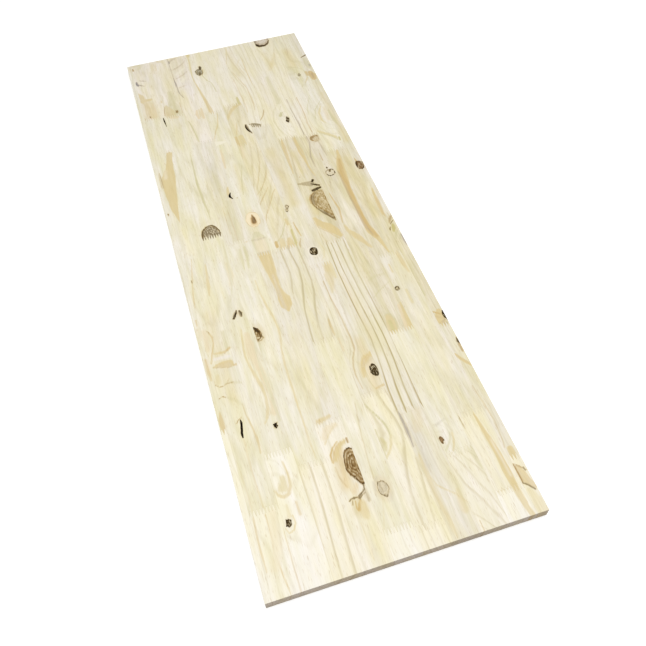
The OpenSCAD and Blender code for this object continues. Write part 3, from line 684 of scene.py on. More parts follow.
# %% Streaks of staves 8 and 9
STREAKS |= {
    (8, 1): [
        ("olive", 0.45, 1.1, (285, 0, 1.1), (286, 60, 1.3), (288, 125, 0.9)),
        ("olive", 0.35, 1.1, (273, 0, 1), (274, 60, 1.1), (276, 125, 0.8)),
        ("olive", 0.3, 1.1, (263, 0, 0.9), (264, 60, 1.1), (266, 112, 0.8)),
        ("olive", 0.5, 2.4, (292, 150, 3), (293, 200, 5), (293, 252, 4)),
        ("olive", 0.95, 2.4, (289, 286, 2.5), (285, 295, 3.6)),
        ("milk", 0.25, 1.4, (289, 301, 1), (287, 312, 1.6), (289, 324, 1)),
        ("olive", 0.45, 1.3, (290, 250, 0.9), (275, 275, 1.3), (266, 310, 1.4), (270, 340, 1.3),
            (281, 368, 1))],
    (8, 2): [
        ("tan", 0.9, 1.2, (291, 370, 2.2), (291, 395, 3.2), (292, 420, 5), (293, 440, 3.2), (294, 470, 1.8),
            (298, 500, 0.8)),
        ("amber", 0.35, 1.4, (292, 405, 1.6), (294, 432, 1.8)),
        ("tan", 0.9, 1.2, (265, 370, 1.6), (263.5, 400, 3.6), (261.5, 440, 2.6), (260, 480, 1)),
        ("amber", 0.45, 1, (265, 388, 1), (262, 425, 1.3), (260.5, 465, 0.9)),
        ("tan", 0.6, 1, (271, 393, 0.9), (270, 412, 0.9)),
        ("umber", 0.8, 1.2, (269, 493, 1), (269, 494, 1)),
        ("tan", 0.95, 1.6, (263, 612, 3.6), (268, 628, 7), (280, 640, 9), (289, 655, 8), (295, 668, 4)),
        ("amber", 0.5, 1, (259, 622, 0.8), (263, 637, 1.1), (270, 645, 1.2), (278, 655, 1.3),
            (285, 668, 1.3), (291, 675, 1.1)),
        ("slate", 0.25, 1.1, (262, 655, 0.8), (265, 670, 1), (269, 679, 0.8)),
        # Bark pockets at the tip of the spike knot
        ("slate", 0.6, 1.5, (283, 518.5, 7.6), (276, 516.5, 6), (268, 514, 3.8), (258.8, 511.5, 0.8)),
        ("bark", 1, 0.9, (290, 510, 2.6), (288, 513.5, 2.6)),
        ("bark", 1, 0.9, (284, 519.5, 1.2), (290, 523.5, 2.4), (297.6, 528, 2.2)),
        ("bark", 1, 1, (298, 534.4, 2.6), (290, 536.5, 3.6), (282, 538.5, 3.2)),
        # Bands in the spike knot
        ("rust", 0.6, 1.2, (281, 545, 1.2), (275, 550, 2.2), (269.5, 560, 2), (268.5, 572, 1)),
        ("slate", 0.7, 2.6, (284, 545, 2), (276, 556, 3), (275, 574, 3.4)),
        ("sap", 0.7, 1.3, (293, 567, 1.2), (296, 578, 1.6)),
        ("sap", 0.5, 1.3, (284, 576, 1), (289, 590, 1.4)),
        ("slate", 0.75, 1.6, (277, 590, 1.4), (285, 603, 2.4), (293, 615, 3), (297, 623, 2)),
        ("rust", 0.4, 1.4, (294, 604, 2), (297, 614, 2)),
        ("bark", 0.5, 1, (281, 590, 0.7), (289, 602, 1.1), (296, 613, 1.1)),
        ("bark", 0.75, 1.1, (276, 550, 1), (271, 562, 1), (270.8, 576, 1.1), (275, 588, 1.3),
            (281, 600, 1.5), (289, 612, 1.5), (297, 625, 1.6)),
        ("bark", 0.45, 0.9, (297.6, 549, 1), (298.6, 555, 1.1)),
        ("bark", 0.35, 0.9, (298, 562, 1), (298.6, 568, 1.1)),
        ("bark", 0.5, 0.9, (298, 584, 1), (298.8, 596, 1.3)),
        ("bark", 0.6, 1, (298.4, 610, 1.2), (298.4, 628, 1.5)),
        ("walnut", 0.5, 0.9, (281, 556, 0.6), (275.6, 574, 0.8), (283, 592, 1), (298, 611, 1)),
        ("walnut", 0.45, 0.9, (286, 560, 0.6), (281, 574, 0.8), (288, 589, 0.9), (298.6, 602, 0.9))],
    (8, 3): [("slate", 0.3, 0.9, (299, 1010, 0.8), (299, 1042, 1))],
    (8, 4): [
        ("rose", 0.35, 4, (288, 1050, 8), (276, 1078, 6)),
        ("smoke", 0.62, 2, (261.5, 1042, 1.4), (262, 1075, 2.4), (261, 1104, 1)),
        ("tan", 0.5, 3, (263, 1118, 2), (263, 1160, 3.6), (265, 1210, 3.6), (267, 1245, 2)),
        ("tan", 0.4, 2.4, (294, 1184, 2), (292, 1200, 5), (292, 1214, 5)),
        ("tan", 0.55, 1.2, (266, 1155, 0.7), (270, 1170, 1.1), (280, 1180, 1.3), (290, 1190, 1.4),
            (299, 1205, 1.1))],
    (9, 1): [
        ("bark", 1, 1.6, (334, 10, 1), (329, 20, 2), (320, 27, 3.2), (308, 26, 4.2), (301.5, 18, 3.8)),
        ("tan", 0.35, 4, (333, 65, 2), (320, 100, 5), (306, 125, 4)),
        ("umber", 0.6, 1.8, (334, 245, 0.7), (334, 305, 1.1), (331, 340, 1), (332, 372, 0.6)),
        ("smoke", 0.35, 1.8, (322, 245, 0.7), (322, 330, 1.1), (321, 372, 0.6)),
        ("smoke", 0.6, 1.8, (312, 245, 0.8), (312, 300, 1.1), (314, 330, 1.3), (313.5, 374, 1.1))],
    (9, 2): [
        ("smoke", 0.5, 1.2, (316, 379, 0.9), (317, 400, 1.3), (312, 420, 1.4), (307, 440, 1.4),
            (306, 476, 0.9)),
        ("umber", 0.65, 1.1, (326, 438, 0.8), (326, 462, 1)),
        ("smoke", 0.32, 1.4, (335, 404, 0.9), (337, 425, 1.4), (338, 450, 0.8)),
        ("rust", 1, 1.1, (338, 382, 1), (332, 383, 2), (325, 386, 2.2), (323, 392, 1.8), (326, 397, 1.2)),
        ("bark", 0.9, 1.2, (337, 381, 1.4), (331, 383.5, 1.4)),
        ("bark", 0.75, 1.2, (326, 386, 1.6), (323.5, 391, 1.2)),
        ("sap", 0.5, 1.3, (334, 391, 2.6), (331, 397, 3)),
        ("slate", 0.5, 0.9, (339, 398, 0.7), (334, 402, 0.9), (327, 402, 0.8)),
        ("bark", 0.85, 0.9, (330, 494, 2), (329.5, 497, 2)),
        ("bark", 1, 0.9, (327, 484, 1.6), (327, 486, 1.6)),
        ("smoke", 0.28, 1.1, (322, 518, 0.8), (315, 550, 1)),
        ("milk", 0.2, 5, (328, 556, 6), (325, 605, 8), (326, 650, 7)),
        ("amber", 0.7, 1.2, (309, 556, 1), (311, 580, 1.6), (314, 600, 2.2), (312, 616, 1.7),
            (308, 640, 1.4)),
        ("tan", 0.75, 1.8, (309, 645, 2), (311, 660, 3), (318, 674, 6), (324, 685, 6), (331, 700, 4),
            (337, 714, 2)),
        ("olive", 0.4, 2.4, (335, 780, 1.4), (320, 780, 2.4), (308, 785, 2.4)),
        ("olive", 0.5, 1.1, (339, 799, 0.9), (325, 808, 1.2), (315, 813, 1.2), (301.5, 825, 1)),
        ("rose", 0.9, 1.4, (335, 852, 1.4), (333, 875, 2.6), (330, 905, 2.6)),
        ("tan", 0.85, 1.2, (339.5, 848, 1.4), (338.5, 870, 3), (337, 907, 4.4)),
        ("tan", 0.7, 1.3, (311, 870, 6), (311, 884, 9), (309, 897, 8), (306, 907, 5)),
        ("olive", 0.6, 1.2, (303, 868, 1), (309, 863.5, 1.1), (316, 867, 1.2), (319, 880, 1.3),
            (317, 896, 1.2)),
        ("moss", 0.75, 1.8, (309, 880, 3), (308, 900, 3)),
        ("walnut", 0.5, 1, (338.6, 385.6, 1.2), (334.4, 383.6, 1.4), (329.5, 384.8, 1.5),
            (324.8, 389.5, 1.6), (323.4, 394.4, 1.3))],
    (9, 3): [
        ("grey", 0.5, 2, (320, 1076, 1.4), (312, 1079, 2), (304, 1082, 1.4)),
        ("tan", 0.6, 1.3, (323, 1096, 0.8), (321, 1110, 1.4), (317, 1120, 1.5), (312, 1129, 1.5),
            (306, 1134, 1.1)),
        ("olive", 0.5, 1.4, (319, 1099, 0.8), (316, 1109, 1.2), (310, 1117, 1.3), (303, 1124, 1.2)),
        ("grey", 0.35, 1.4, (319, 1082, 0.8), (322.4, 1090, 1.2), (323, 1098, 1))],
    (9, 4): [
        ("olive", 0.5, 1.5, (337, 1130, 5), (338, 1148, 3.6), (340, 1166, 1.2)),
        ("umber", 0.5, 0.9, (304, 1234, 0.8), (304, 1251, 1))],
}
print(len(STREAKS), "blocks so far")

# %% [markdown]
# The last two staves have broad resin streaks, and the rip saw cut through a knot.

# %% Streaks of staves 10 and 11
STREAKS |= {
    (10, 1): [
        ("smoke", 0.22, 1.1, (368, 0, 1), (366, 50, 1.1), (363, 75, 1.2), (358, 86, 0.9)),
        ("milk", 0.9, 2, (357, 160, 1), (356, 170, 1.6), (360, 180, 1)),
        ("amber", 0.7, 2.4, (381, 162, 3), (380.5, 175, 3.4)),
        ("tan", 0.75, 1.3, (378, 183, 1.4), (368, 201, 1)),
        ("rose", 0.5, 4, (380, 300, 4), (377, 340, 5)),
        ("honey", 0.9, 2, (374, 292, 1.5), (364, 314, 2.2), (362, 338, 2), (368, 352, 1)),
        ("olive", 0.6, 1.2, (382, 270, 0.8), (375, 280, 1.2), (360, 300, 1.4), (352, 330, 1.2)),
        ("olive", 0.5, 1.2, (360, 255, 0.8), (345, 290, 1.2), (342.4, 312, 0.9)),
        ("honey", 0.9, 1.8, (376, 408, 1.6), (372, 400, 2.6), (361, 388, 3.2), (351, 379, 3.2),
            (343, 370, 2)),
        ("olive", 0.75, 1.1, (375, 411, 1), (368, 399, 1.2), (356, 388, 1.2), (345, 377, 1)),
        ("moss", 0.8, 1.4, (379, 404, 2), (378, 413, 2))],
    (10, 2): [
        ("tan", 0.95, 1.1, (362, 441, 2), (360, 458, 3.6), (355.5, 478, 6.6), (351.5, 500, 8.5),
            (349.5, 525, 7.5), (347.5, 550, 6), (347, 600, 5.2), (346.5, 640, 4.7), (348, 665, 6),
            (349.5, 675, 7.3), (354, 690, 5.5), (358.5, 705, 3.5), (362, 736, 1.2)),
        ("amber", 0.9, 2, (357, 470, 2.5), (350, 510, 5), (347, 600, 3.6), (348, 665, 5), (356, 692, 3.4)),
        ("umber", 0.6, 1.1, (344, 505, 1.2), (343, 600, 1.4), (343.5, 655, 1.4), (350, 684, 1.1))],
    (10, 3): [
        ("tan", 0.7, 2.4, (375, 736, 3), (376, 765, 4.4), (379, 790, 1.6)),
        ("tan", 0.7, 1.4, (352, 763, 1.2), (352, 782, 1.4)),
        ("honey", 0.75, 2, (359, 826, 1.6), (359, 855, 2)),
        ("olive", 0.35, 1, (361, 1025, 0.9), (361, 1055, 0.9))],
    (10, 4): [
        ("tan", 0.9, 1.2, (365, 1078, 1), (367, 1100, 2.5), (369, 1125, 4), (371, 1150, 4.5),
            (371, 1180, 5.5), (371, 1212, 5)),
        ("amber", 0.3, 1.6, (371, 1130, 1.6), (373, 1190, 2.2)),
        ("slate", 0.6, 0.8, (342.8, 1078, 0.9), (343, 1090, 0.9), (343.2, 1101, 0.5)),
        ("slate", 0.35, 1.6, (365, 1204, 1), (355, 1205, 1.2), (345, 1205, 1))],
    (10, 5): [("tan", 0.7, 1.2, (371, 1200, 5.4), (373, 1235, 4.2), (376, 1252, 3.6))],
    (11, 1): [
        ("olive", 0.55, 2.4, (392, 110, 4), (391, 130, 5.5), (392, 150, 3)),
        ("bark", 0.8, 0.9, (399, 97, 1.8), (395, 100, 2.2), (390, 102, 1.6), (386, 105, 0.8)),
        ("smoke", 0.6, 1.4, (396, 137, 1.8), (396, 143, 1.8)),
        ("amber", 0.75, 1.6, (389, 166, 5), (391, 178, 8), (391, 191, 6)),
        ("umber", 0.7, 1.4, (391, 172, 1.6), (390, 188, 1.6)),
        ("olive", 0.65, 2, (385.5, 312, 2), (386, 345, 3.4), (389, 362, 1.4)),
        ("bark", 0.85, 1.1, (387, 489, 1.6), (384.5, 494, 2), (384.5, 502, 1.6)),
        ("sap", 0.35, 1.1, (396, 489, 1.6), (398, 498, 1.6)),
        ("sap", 0.45, 1, (391.5, 494, 0.8), (387.5, 501, 1.3), (385, 507, 1)),
        ("amber", 0.95, 1.2, (386.5, 478, 0.8), (388, 486, 1.6)),
        ("tan", 1, 1.3, (390, 570, 1.5), (388, 592, 2.6), (387, 612, 3.4), (386.4, 652, 2.4)),
        ("amber", 0.7, 1.2, (388, 600, 1.4), (387, 645, 1.2))],
    (11, 2): [
        ("umber", 0.7, 1.6, (398, 650, 1.6), (394, 658, 2.6), (388, 668, 1)),
        ("moss", 0.95, 1.3, (393, 674, 2.4), (391.5, 682, 4), (389, 690, 2.4)),
        ("olive", 0.8, 1.2, (396, 690, 1), (390, 698, 1.5), (386, 710, 1.1)),
        ("olive", 0.7, 1.2, (398, 700, 1), (393, 712, 1.3)),
        ("bark", 0.7, 0.8, (397, 664, 0.9), (393, 667.5, 1.2), (389.4, 671.5, 0.9)),
        ("bark", 0.8, 0.8, (386.6, 678, 0.9), (385, 682, 1.2), (383.8, 686, 0.9)),
        ("smoke", 0.6, 1.6, (399, 702, 1.6), (398.5, 716, 2.6), (399, 730, 1.6)),
        ("olive", 0.85, 1.1, (384.4, 818, 1), (384.6, 848, 1.4)),
        ("tan", 0.9, 1.2, (393, 885, 4), (390, 895, 7), (389, 906, 7), (392, 916, 4)),
        ("amber", 0.9, 0.9, (384, 885, 1.4), (389, 889, 1.5), (394, 893, 1)),
        ("amber", 0.6, 0.9, (384, 895, 1.2), (390, 899, 1.3), (395, 903, 1)),
        ("umber", 0.55, 0.9, (396, 905, 1.2), (391, 908, 1.1), (385, 911, 0.9)),
        ("slate", 0.6, 1, (396, 914, 1), (390, 915, 1), (385, 917, 0.7))],
    (11, 3): [
        ("bark", 1, 1, (398.5, 944, 0.9), (397.8, 952, 2.2), (399, 959, 1.4)),
        ("umber", 0.75, 1.2, (397.5, 958, 2), (397.5, 972, 2)),
        ("tan", 1, 1.3, (384, 974, 1.6), (388, 984, 2.6), (394, 993, 2.8), (399, 1001, 1.8)),
        ("amber", 0.55, 1, (385, 977, 0.9), (391, 987, 1.1), (398, 998, 1)),
        ("umber", 0.35, 1, (384, 1035, 0.8), (388, 1075, 1), (390, 1100, 1), (387, 1135, 1),
            (384, 1147, 0.7)),
        ("tan", 0.85, 1.4, (391, 1150, 4.4), (391, 1166, 5))],
    (11, 4): [
        ("honey", 0.45, 2.4, (388, 1216, 4), (391, 1232, 7), (391, 1254, 8)),
        # A resin patch with a brown outline
        ("amber", 0.5, 1, (386, 1180, 3), (389, 1188, 5.5), (390, 1198, 6.4), (395, 1208, 4.4),
            (398, 1214, 2)),
        ("umber", 0.75, 0.9, (383.8, 1173, 1), (388, 1177, 1.3), (393, 1182, 1.5), (397, 1187, 1.4)),
        ("umber", 1, 0.9, (384.2, 1175, 1.1), (384.2, 1204, 1.3)),
        ("bark", 0.75, 0.9, (384.2, 1204, 1.2), (388, 1207, 1.5), (396, 1217, 1.6)),
        ("bark", 0.65, 1, (395.5, 1183, 1.2), (396, 1187, 1.4)),
        ("umber", 0.4, 1.2, (386, 1184, 0.8), (389.5, 1194, 1), (394, 1206, 0.8))],
}

print(sum(len(s) for s in STREAKS.values()), "streaks in all")

# %% [markdown]
# Washes are the same strokes with very soft edges: the shade that a large hidden knot or
# a patch of sapwood gives the wood round it.

# %% Washes
WASHES = {
    (1, 1): [("honey", 0.6, 3, (5, 8, 3), (5, 25, 2))],
    (1, 2): [("amber", 0.25, 4, (6, 792, 3), (6, 812, 3)), ("amber", 0.25, 4, (6, 858, 3), (6, 888, 3))],
    (2, 1): [
        ("honey", 0.5, 6, (12, 6, 3), (13, 18, 3)),
        ("lilac", 0.9, 8, (26, 30, 12), (32, 66, 12)),
        ("tan", 0.4, 7, (24, 158, 12), (26, 204, 14))],
    (2, 3): [("milk", 0.5, 9, (24, 560, 8), (26, 620, 10)), ("tan", 0.25, 8, (30, 770, 12), (30, 940, 12))],
    (3, 1): [("rose", 0.5, 6, (56, 12, 5), (55, 46, 3)), ("olive", 0.35, 7, (70, 186, 14), (72, 214, 16))],
    (3, 2): [("lilac", 0.4, 10, (74, 240, 14), (78, 300, 8))],
    (3, 3): [("rose", 0.5, 7, (77, 782, 6)), ("milk", 0.4, 8, (62, 900, 6), (62, 960, 6))],
    (3, 4): [("milk", 0.4, 8, (76, 1180, 8), (76, 1230, 8))],
    (4, 1): [("lilac", 0.9, 8, (114, 14, 16), (112, 110, 16), (116, 150, 8))],
    (4, 2): [("grey", 0.25, 9, (112, 400, 8), (110, 480, 8))],
    (4, 3): [("milk", 0.4, 8, (112, 780, 8), (110, 900, 10))],
    (5, 2): [
        ("milk", 0.6, 8, (154, 560, 10), (154, 600, 9)),
        ("honey", 0.35, 9, (156, 420, 8), (156, 490, 8))],
    (5, 3): [("milk", 0.4, 9, (154, 860, 10), (152, 980, 10))],
    (5, 4): [
        ("rose", 0.9, 8, (156, 1080, 10), (150, 1130, 9)),
        ("milk", 0.4, 8, (154, 1215, 12)),
        ("tan", 0.6, 9, (160, 1156, 7), (156, 1170, 9))],
    (6, 5): [("milk", 0.4, 10, (196, 950, 12), (194, 1080, 12))],
    (7, 1): [("honey", 0.4, 8, (232, 30, 8), (236, 120, 8))],
    (7, 2): [("honey", 0.5, 9, (236, 400, 12), (238, 560, 12)), ("milk", 0.45, 5, (237, 690, 11))],
    (7, 3): [
        ("rose", 0.55, 8, (248, 900, 8), (248, 956, 10), (244, 990, 9)),
        ("milk", 0.45, 8, (228, 800, 8), (228, 870, 8))],
    (8, 1): [
        ("lilac", 0.6, 9, (278, 150, 12), (274, 220, 12), (270, 290, 8)),
        ("milk", 0.3, 6, (292, 314, 12))],
    (8, 2): [
        ("honey", 0.5, 6, (272, 560, 8), (272, 600, 8)),
        ("honey", 0.5, 9, (276, 420, 9), (278, 480, 9))],
    (8, 3): [("rose", 0.3, 8, (266, 760, 6), (270, 900, 6))],
    (8, 4): [("grey", 0.3, 7, (270, 1075, 8), (268, 1140, 8))],
    (9, 1): [("honey", 0.4, 7, (310, 60, 6), (314, 110, 8)), ("lilac", 0.3, 8, (330, 180, 8))],
    (9, 2): [("milk", 0.3, 8, (330, 570, 9), (328, 640, 11))],
    (9, 3): [("lilac", 0.5, 8, (308, 1104, 10)), ("milk", 0.4, 9, (320, 960, 14))],
    (10, 1): [
        ("rose", 0.4, 8, (362, 70, 12), (362, 125, 12)),
        ("olive", 0.3, 8, (354, 140, 8), (360, 184, 10)),
        ("lilac", 0.4, 8, (366, 320, 8)),
        ("milk", 0.6, 7, (358, 396, 6), (357, 425, 9))],
    (10, 2): [("honey", 0.4, 8, (368, 470, 8), (372, 640, 8))],
    (10, 3): [
        ("milk", 0.6, 5, (350, 832, 2), (349, 870, 3)),
        ("milk", 0.35, 9, (362, 880, 14), (362, 990, 14))],
    (11, 1): [("honey", 0.5, 6, (391, 250, 6), (391, 420, 6))],
}
print(sum(len(w) for w in WASHES.values()), "washes")

# %% [markdown]
# ## Cracks
# Wood splits as it dries, along its grain or round a knot, and bark left in a fold makes
# a black gap. These are real V-shaped grooves in the face, so they also need fine
# rows and columns of vertices to be cut into. Their inside is also painted nearly black:
# painted shade, and the bark where a fold holds some.

# %% Cracks, by block
# (depth in mm, path of (across, along, half width))
CRACKS = {
    (2, 2): [(1.0, [(47.4, 216, 0.6), (47.4, 224, 1.6), (48.2, 236, 1.2), (49, 248, 0.4)])],
    (2, 3): [(2.2, [
        (32.8, 981, 1.0), (33, 986, 1.9), (31, 997, 1.8), (29.6, 1004, 1.9), (29.6, 1011, 1.1),
    ])],
    (3, 3): [(0.8, [(83, 1003, 1.0), (80, 1007, 1.4), (81, 1011, 0.8)])],
    (4, 2): [(1.6, [(130.4, 491, 0.8), (127.6, 497, 2.0), (127, 502, 2.4), (131, 509, 0.9)])],
    (6, 2): [(1.4, [(206.4, 301, 0.7), (205.8, 308, 1.3), (207, 317, 1.3), (210.4, 324, 1.0)])],
}
print(sum(len(c) for c in CRACKS.values()), "cracks")

# %% [markdown]
# ## Distances to a brush stroke
# One formula serves streaks, washes and cracks. Each piece of a stroke is a line between
# two points with a half width at each. A point's distance to it, less the half width
# there, is negative inside the stroke and positive outside. The whole stroke is the
# smallest of these.

# %% Distance to a stroke
def stroke_distance(across, along, path):
    """Distance to the nearest point of the path less the half width there, in mm."""
    points = np.array(path, float)
    if len(points) == 1:
        points = np.repeat(points, 2, axis=0)
    start, step = points[:-1], np.diff(points, axis=0)
    length2 = np.maximum((step[:, :2] ** 2).sum(axis=1), 1e-9)
    from_start = np.stack([across[:, None] - start[:, 0], along[:, None] - start[:, 1]], axis=2)
    share = np.clip((from_start * step[:, :2]).sum(axis=2) / length2, 0, 1)
    off = from_start - share[:, :, None] * step[:, :2]
    half_width = start[:, 2] + share * step[:, 2]
    return (np.hypot(off[:, :, 0], off[:, :, 1]) - half_width).min(axis=1)


on_edge = stroke_distance(np.array([3.0]), np.array([5.0]), [(0, 0, 3), (0, 9, 3)])
print("distance on a stroke's edge:", on_edge)

# %% [markdown]
# ## The shape of a block
# The outline of a block's two ends, fingers included, is read from its node in the
# frame. A loop round the block's cross-section is carried from the far end to the near
# one. Its columns pass through every bend of the fingers, and the rows go over from the
# zigzag to a straight line a little way in. Rows crowd together where there is detail.

# %% Ends, columns and rows
# All in mm. Colour changes quickly across the grain and slowly along it.
COLUMN_GAP = 0.9
ROW_GAP = 6.0
# How far a sanded edge is rounded
ARRIS = 0.45


def end_outlines(node):
    """The far and the near end of a node's upper face, as (x, y) points in mm in order of x."""
    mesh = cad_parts[node].data
    corners = np.empty(len(mesh.vertices) * 3)
    mesh.vertices.foreach_get("co", corners)
    corners = corners.reshape(-1, 3) * 1000
    top = corners[corners[:, 2] > BOARD_HIGH[2] - 0.01, :2]
    top = np.unique(top.round(4), axis=0)
    middle = (top[:, 1].min() + top[:, 1].max()) / 2
    return top[top[:, 1] > middle], top[top[:, 1] < middle]


def fill_in(stops, gap):
    """The stops with equal steps between them, none longer than the gap."""
    steps = np.maximum(1, np.ceil(np.diff(stops) / gap - 1e-6)).astype(int)
    pieces = [np.linspace(a, b, n + 1)[:-1] for a, b, n in zip(stops, stops[1:], steps)]
    return np.concatenate([*pieces, stops[-1:]])


def crowded(low, high, gap, places):
    """Stops from low to high that are a gap apart, and closer in places, each (low, high, its gap)."""
    fine = np.linspace(low, high, 4000)
    per_mm = np.full(len(fine), 1 / gap)
    for first, last, closer in places:
        per_mm = np.maximum(per_mm, np.where((fine > first) & (fine < last), 1 / closer, 0))
    count = np.concatenate([[0], np.cumsum(per_mm[:-1] * np.diff(fine))])
    return np.interp(np.linspace(0, count[-1], math.ceil(count[-1]) + 1), count, fine)


print("stops 0 to 10:", fill_in(np.array([0.0, 4.0, 10.0]), 3))

# %% [markdown]
# Detail is wanted round knots, cracks and short strokes that cross the grain. Dark
# strokes need the closest rows, because their edges are seen best.

# %% Where a block needs fine rows and columns
# Row gaps in mm, and how far past a short stroke or a crack they go on
KNOT_ROWS = 1.7
SHORT_STROKE = 60
DARK_STAINS = ("bark", "walnut")
DARK_REACH, DARK_ROWS = 3, 1.1
PALE_REACH, PALE_ROWS = 6, 2.6
CRACK_REACH, CRACK_ROWS = 2, 0.9
CRACK_COLUMNS = 0.45


def fine_rows(key):
    """Stretches along the block that need close rows: (first, last, gap) in mm."""
    places = []
    for across, along, wide, long, look, part in KNOTS.get(key, []):
        reach = long * 1.5 + 3
        places.append((along - reach, along + reach, KNOT_ROWS))
    for stain, strength, soft, *path in STREAKS.get(key, []):
        along = [p[1] for p in path]
        if max(along) - min(along) < SHORT_STROKE:
            reach, gap = (DARK_REACH, DARK_ROWS) if stain in DARK_STAINS else (PALE_REACH, PALE_ROWS)
            places.append((min(along) - reach, max(along) + reach, gap))
    for depth, path in CRACKS.get(key, []):
        along = [p[1] for p in path]
        places.append((min(along) - CRACK_REACH, max(along) + CRACK_REACH, CRACK_ROWS))
    return places


def crack_columns(key):
    """Extra stops across the block, close together where a crack is."""
    stops = []
    for depth, path in CRACKS.get(key, []):
        across = [p[0] for p in path]
        stops.extend(np.arange(min(across) - 1.5, max(across) + 1.5, CRACK_COLUMNS))
    return stops


print("most fine stretches in a block:", max(len(fine_rows(stave_and_block(n))) for n in blocks))

# %% [markdown]
# The loop goes over the upper face, down the right side, back under and up the left
# side. The two ends are closed by grids that share the loop's vertices. The board's own
# outer edges are eased by sandpaper: a point near an edge is moved out from the inner
# box by the arris radius, which rounds the edge and leaves the faces flat.

# %% Build the surface of one block
def block_levels(outer):
    """Heights of the vertices down a side, in mm below the upper face."""
    thick = BOARD_HIGH[2] - BOARD_LOW[2]
    if not outer:
        return np.linspace(0, thick, 4)
    eased = np.array([0, ARRIS / 3, ARRIS])
    return np.concatenate([eased, np.linspace(ARRIS, thick - ARRIS, 6)[1:-1], thick - eased[::-1]])


# Stops across that are closer than this are one stop, and a finger joint's zigzag has
# gone over into straight rows this far in, both in mm
CLOSEST = 0.12
STRAIGHT_IN = 3


def block_grid(key, far, near):
    """Each column's x, and y by row and column, in mm. Rows go from the far outline to the near one."""
    left, right = far[0, 0], far[-1, 0]
    bends = np.concatenate([far[:, 0], near[:, 0]])
    edges = [left, left + 0.3, right - 0.3, right]
    for side, sign in ((BOARD_LOW[0], 1), (BOARD_HIGH[0], -1)):
        edges += [side + sign * ARRIS * f for f in (1 / 3, 1)]
    extra = [x + BOARD_LOW[0] for x in crack_columns(key)]
    x = np.concatenate([bends, edges, extra])
    x = np.unique(x[(x >= left) & (x <= right)].round(3))
    x = x[np.concatenate([[True], np.diff(x) > CLOSEST])]
    x[-1] = right
    x = fill_in(x, COLUMN_GAP)
    y_far, y_near = np.interp(x, *far.T), np.interp(x, *near.T)
    straight_far, straight_near = y_far.min() - STRAIGHT_IN, y_near.max() + STRAIGHT_IN
    top = BOARD_HIGH[1]
    places = [(top - last, top - first, gap) for first, last, gap in fine_rows(key)]
    middle = crowded(straight_near, straight_far, ROW_GAP, places)[::-1]
    lead_in = np.array([0, ARRIS / 3, ARRIS, STRAIGHT_IN / 2])[:, None] / STRAIGHT_IN
    far_rows = y_far + lead_in * (straight_far - y_far)
    near_rows = (y_near + lead_in * (straight_near - y_near))[::-1]
    y = np.concatenate([far_rows, np.repeat(middle[:, None], len(x), axis=1), near_rows])
    return x, y


print("levels of an outer block:", block_levels(True).round(2))

# %% [markdown]
# Faces are made from whole arrays of vertex numbers: a cell of the loop and the next
# one, and a cell of this row and the next row, are the four corners of a face.

# %% Vertices and faces of one block
def cells(grid):
    """Four corners of every cell of a grid of vertex numbers."""
    return np.stack([grid[:-1, :-1], grid[1:, :-1], grid[1:, 1:], grid[:-1, 1:]], axis=2).reshape(-1, 4)


print("faces in a grid of 3 by 4 vertices:", len(cells(np.arange(12).reshape(3, 4))))


def block_surface(key, node):
    """Vertices in mm, faces, and which faces are end grain, of a closed block."""
    far, near = end_outlines(node)
    x, y = block_grid(key, far, near)
    at_end = y.max() > BOARD_HIGH[1] - 0.01 or y.min() < BOARD_LOW[1] + 0.01
    at_side = x[0] < BOARD_LOW[0] + 0.01 or x[-1] > BOARD_HIGH[0] - 0.01
    z = BOARD_HIGH[2] - block_levels(at_end or at_side)
    wide, down, rows = len(x), len(z), len(y)
    over, side = np.arange(wide), np.arange(1, down - 1)
    column = np.concatenate([over, np.full(down - 2, wide - 1), over[::-1], np.zeros(down - 2, int)])
    level = np.concatenate([np.zeros(wide, int), side, np.full(wide, down - 1), side[::-1]])
    loop = len(column)
    tube = np.empty((rows, loop, 3))
    tube[:, :, 0], tube[:, :, 1], tube[:, :, 2] = x[column], y[:, column], z[level]
    vertices = [tube.reshape(-1, 3)]
    number = np.arange(rows * loop).reshape(rows, loop)
    faces = [cells(np.concatenate([number, number[:, :1]], axis=1))]
    end_faces = []
    made = rows * loop
    for row in (0, rows - 1):
        cap = np.full((wide, down), -1)
        cap[column, level] = number[row]
        inner = np.argwhere(cap < 0)
        cap[inner[:, 0], inner[:, 1]] = made + np.arange(len(inner))
        made += len(inner)
        vertices.append(np.stack([x[inner[:, 0]], y[row, inner[:, 0]], z[inner[:, 1]]], axis=1))
        cap_cells = cells(cap)
        end_faces.append(cap_cells[:, ::-1] if row else cap_cells)
    sides = len(faces[0])
    faces = np.concatenate(faces + end_faces)
    end_grain = np.arange(len(faces)) >= sides
    return np.concatenate(vertices), faces[:, ::-1], end_grain, x, (far, near)


def ease_arrises(points):
    """Each point moved to the arris radius from the inner box, which is smaller by it all round."""
    inner = np.clip(points, BOARD_LOW + ARRIS, BOARD_HIGH - ARRIS)
    out = points - inner
    distance = np.linalg.norm(out, axis=1, keepdims=True)
    return np.where(distance > 1e-6, inner + out / np.maximum(distance, 1e-6) * ARRIS, points)


# %% [markdown]
# ## Fields that the wood's colour follows
# Every vertex is given a few numbers: its growth ring, its place in the nearest knot,
# its distance to streaks, cracks and glue lines, and its clear-wood tone. They change
# smoothly from vertex to vertex, so the material can draw lines finer than the mesh.

# %% Rings
# How far along the grain bends round a knot, in lengths of the knot
KNOT_EYE = 1.6
# How many times the waver sways the grain of a block with drawn lines, and of any other
DRAWN_SWAY, FREE_SWAY = 0.4, 1.6
# Where in a ring the late wood begins and is full, and where it fades and ends
LATE_RISE = (0.66, 0.86)
LATE_FALL = (0.9, 1.0)


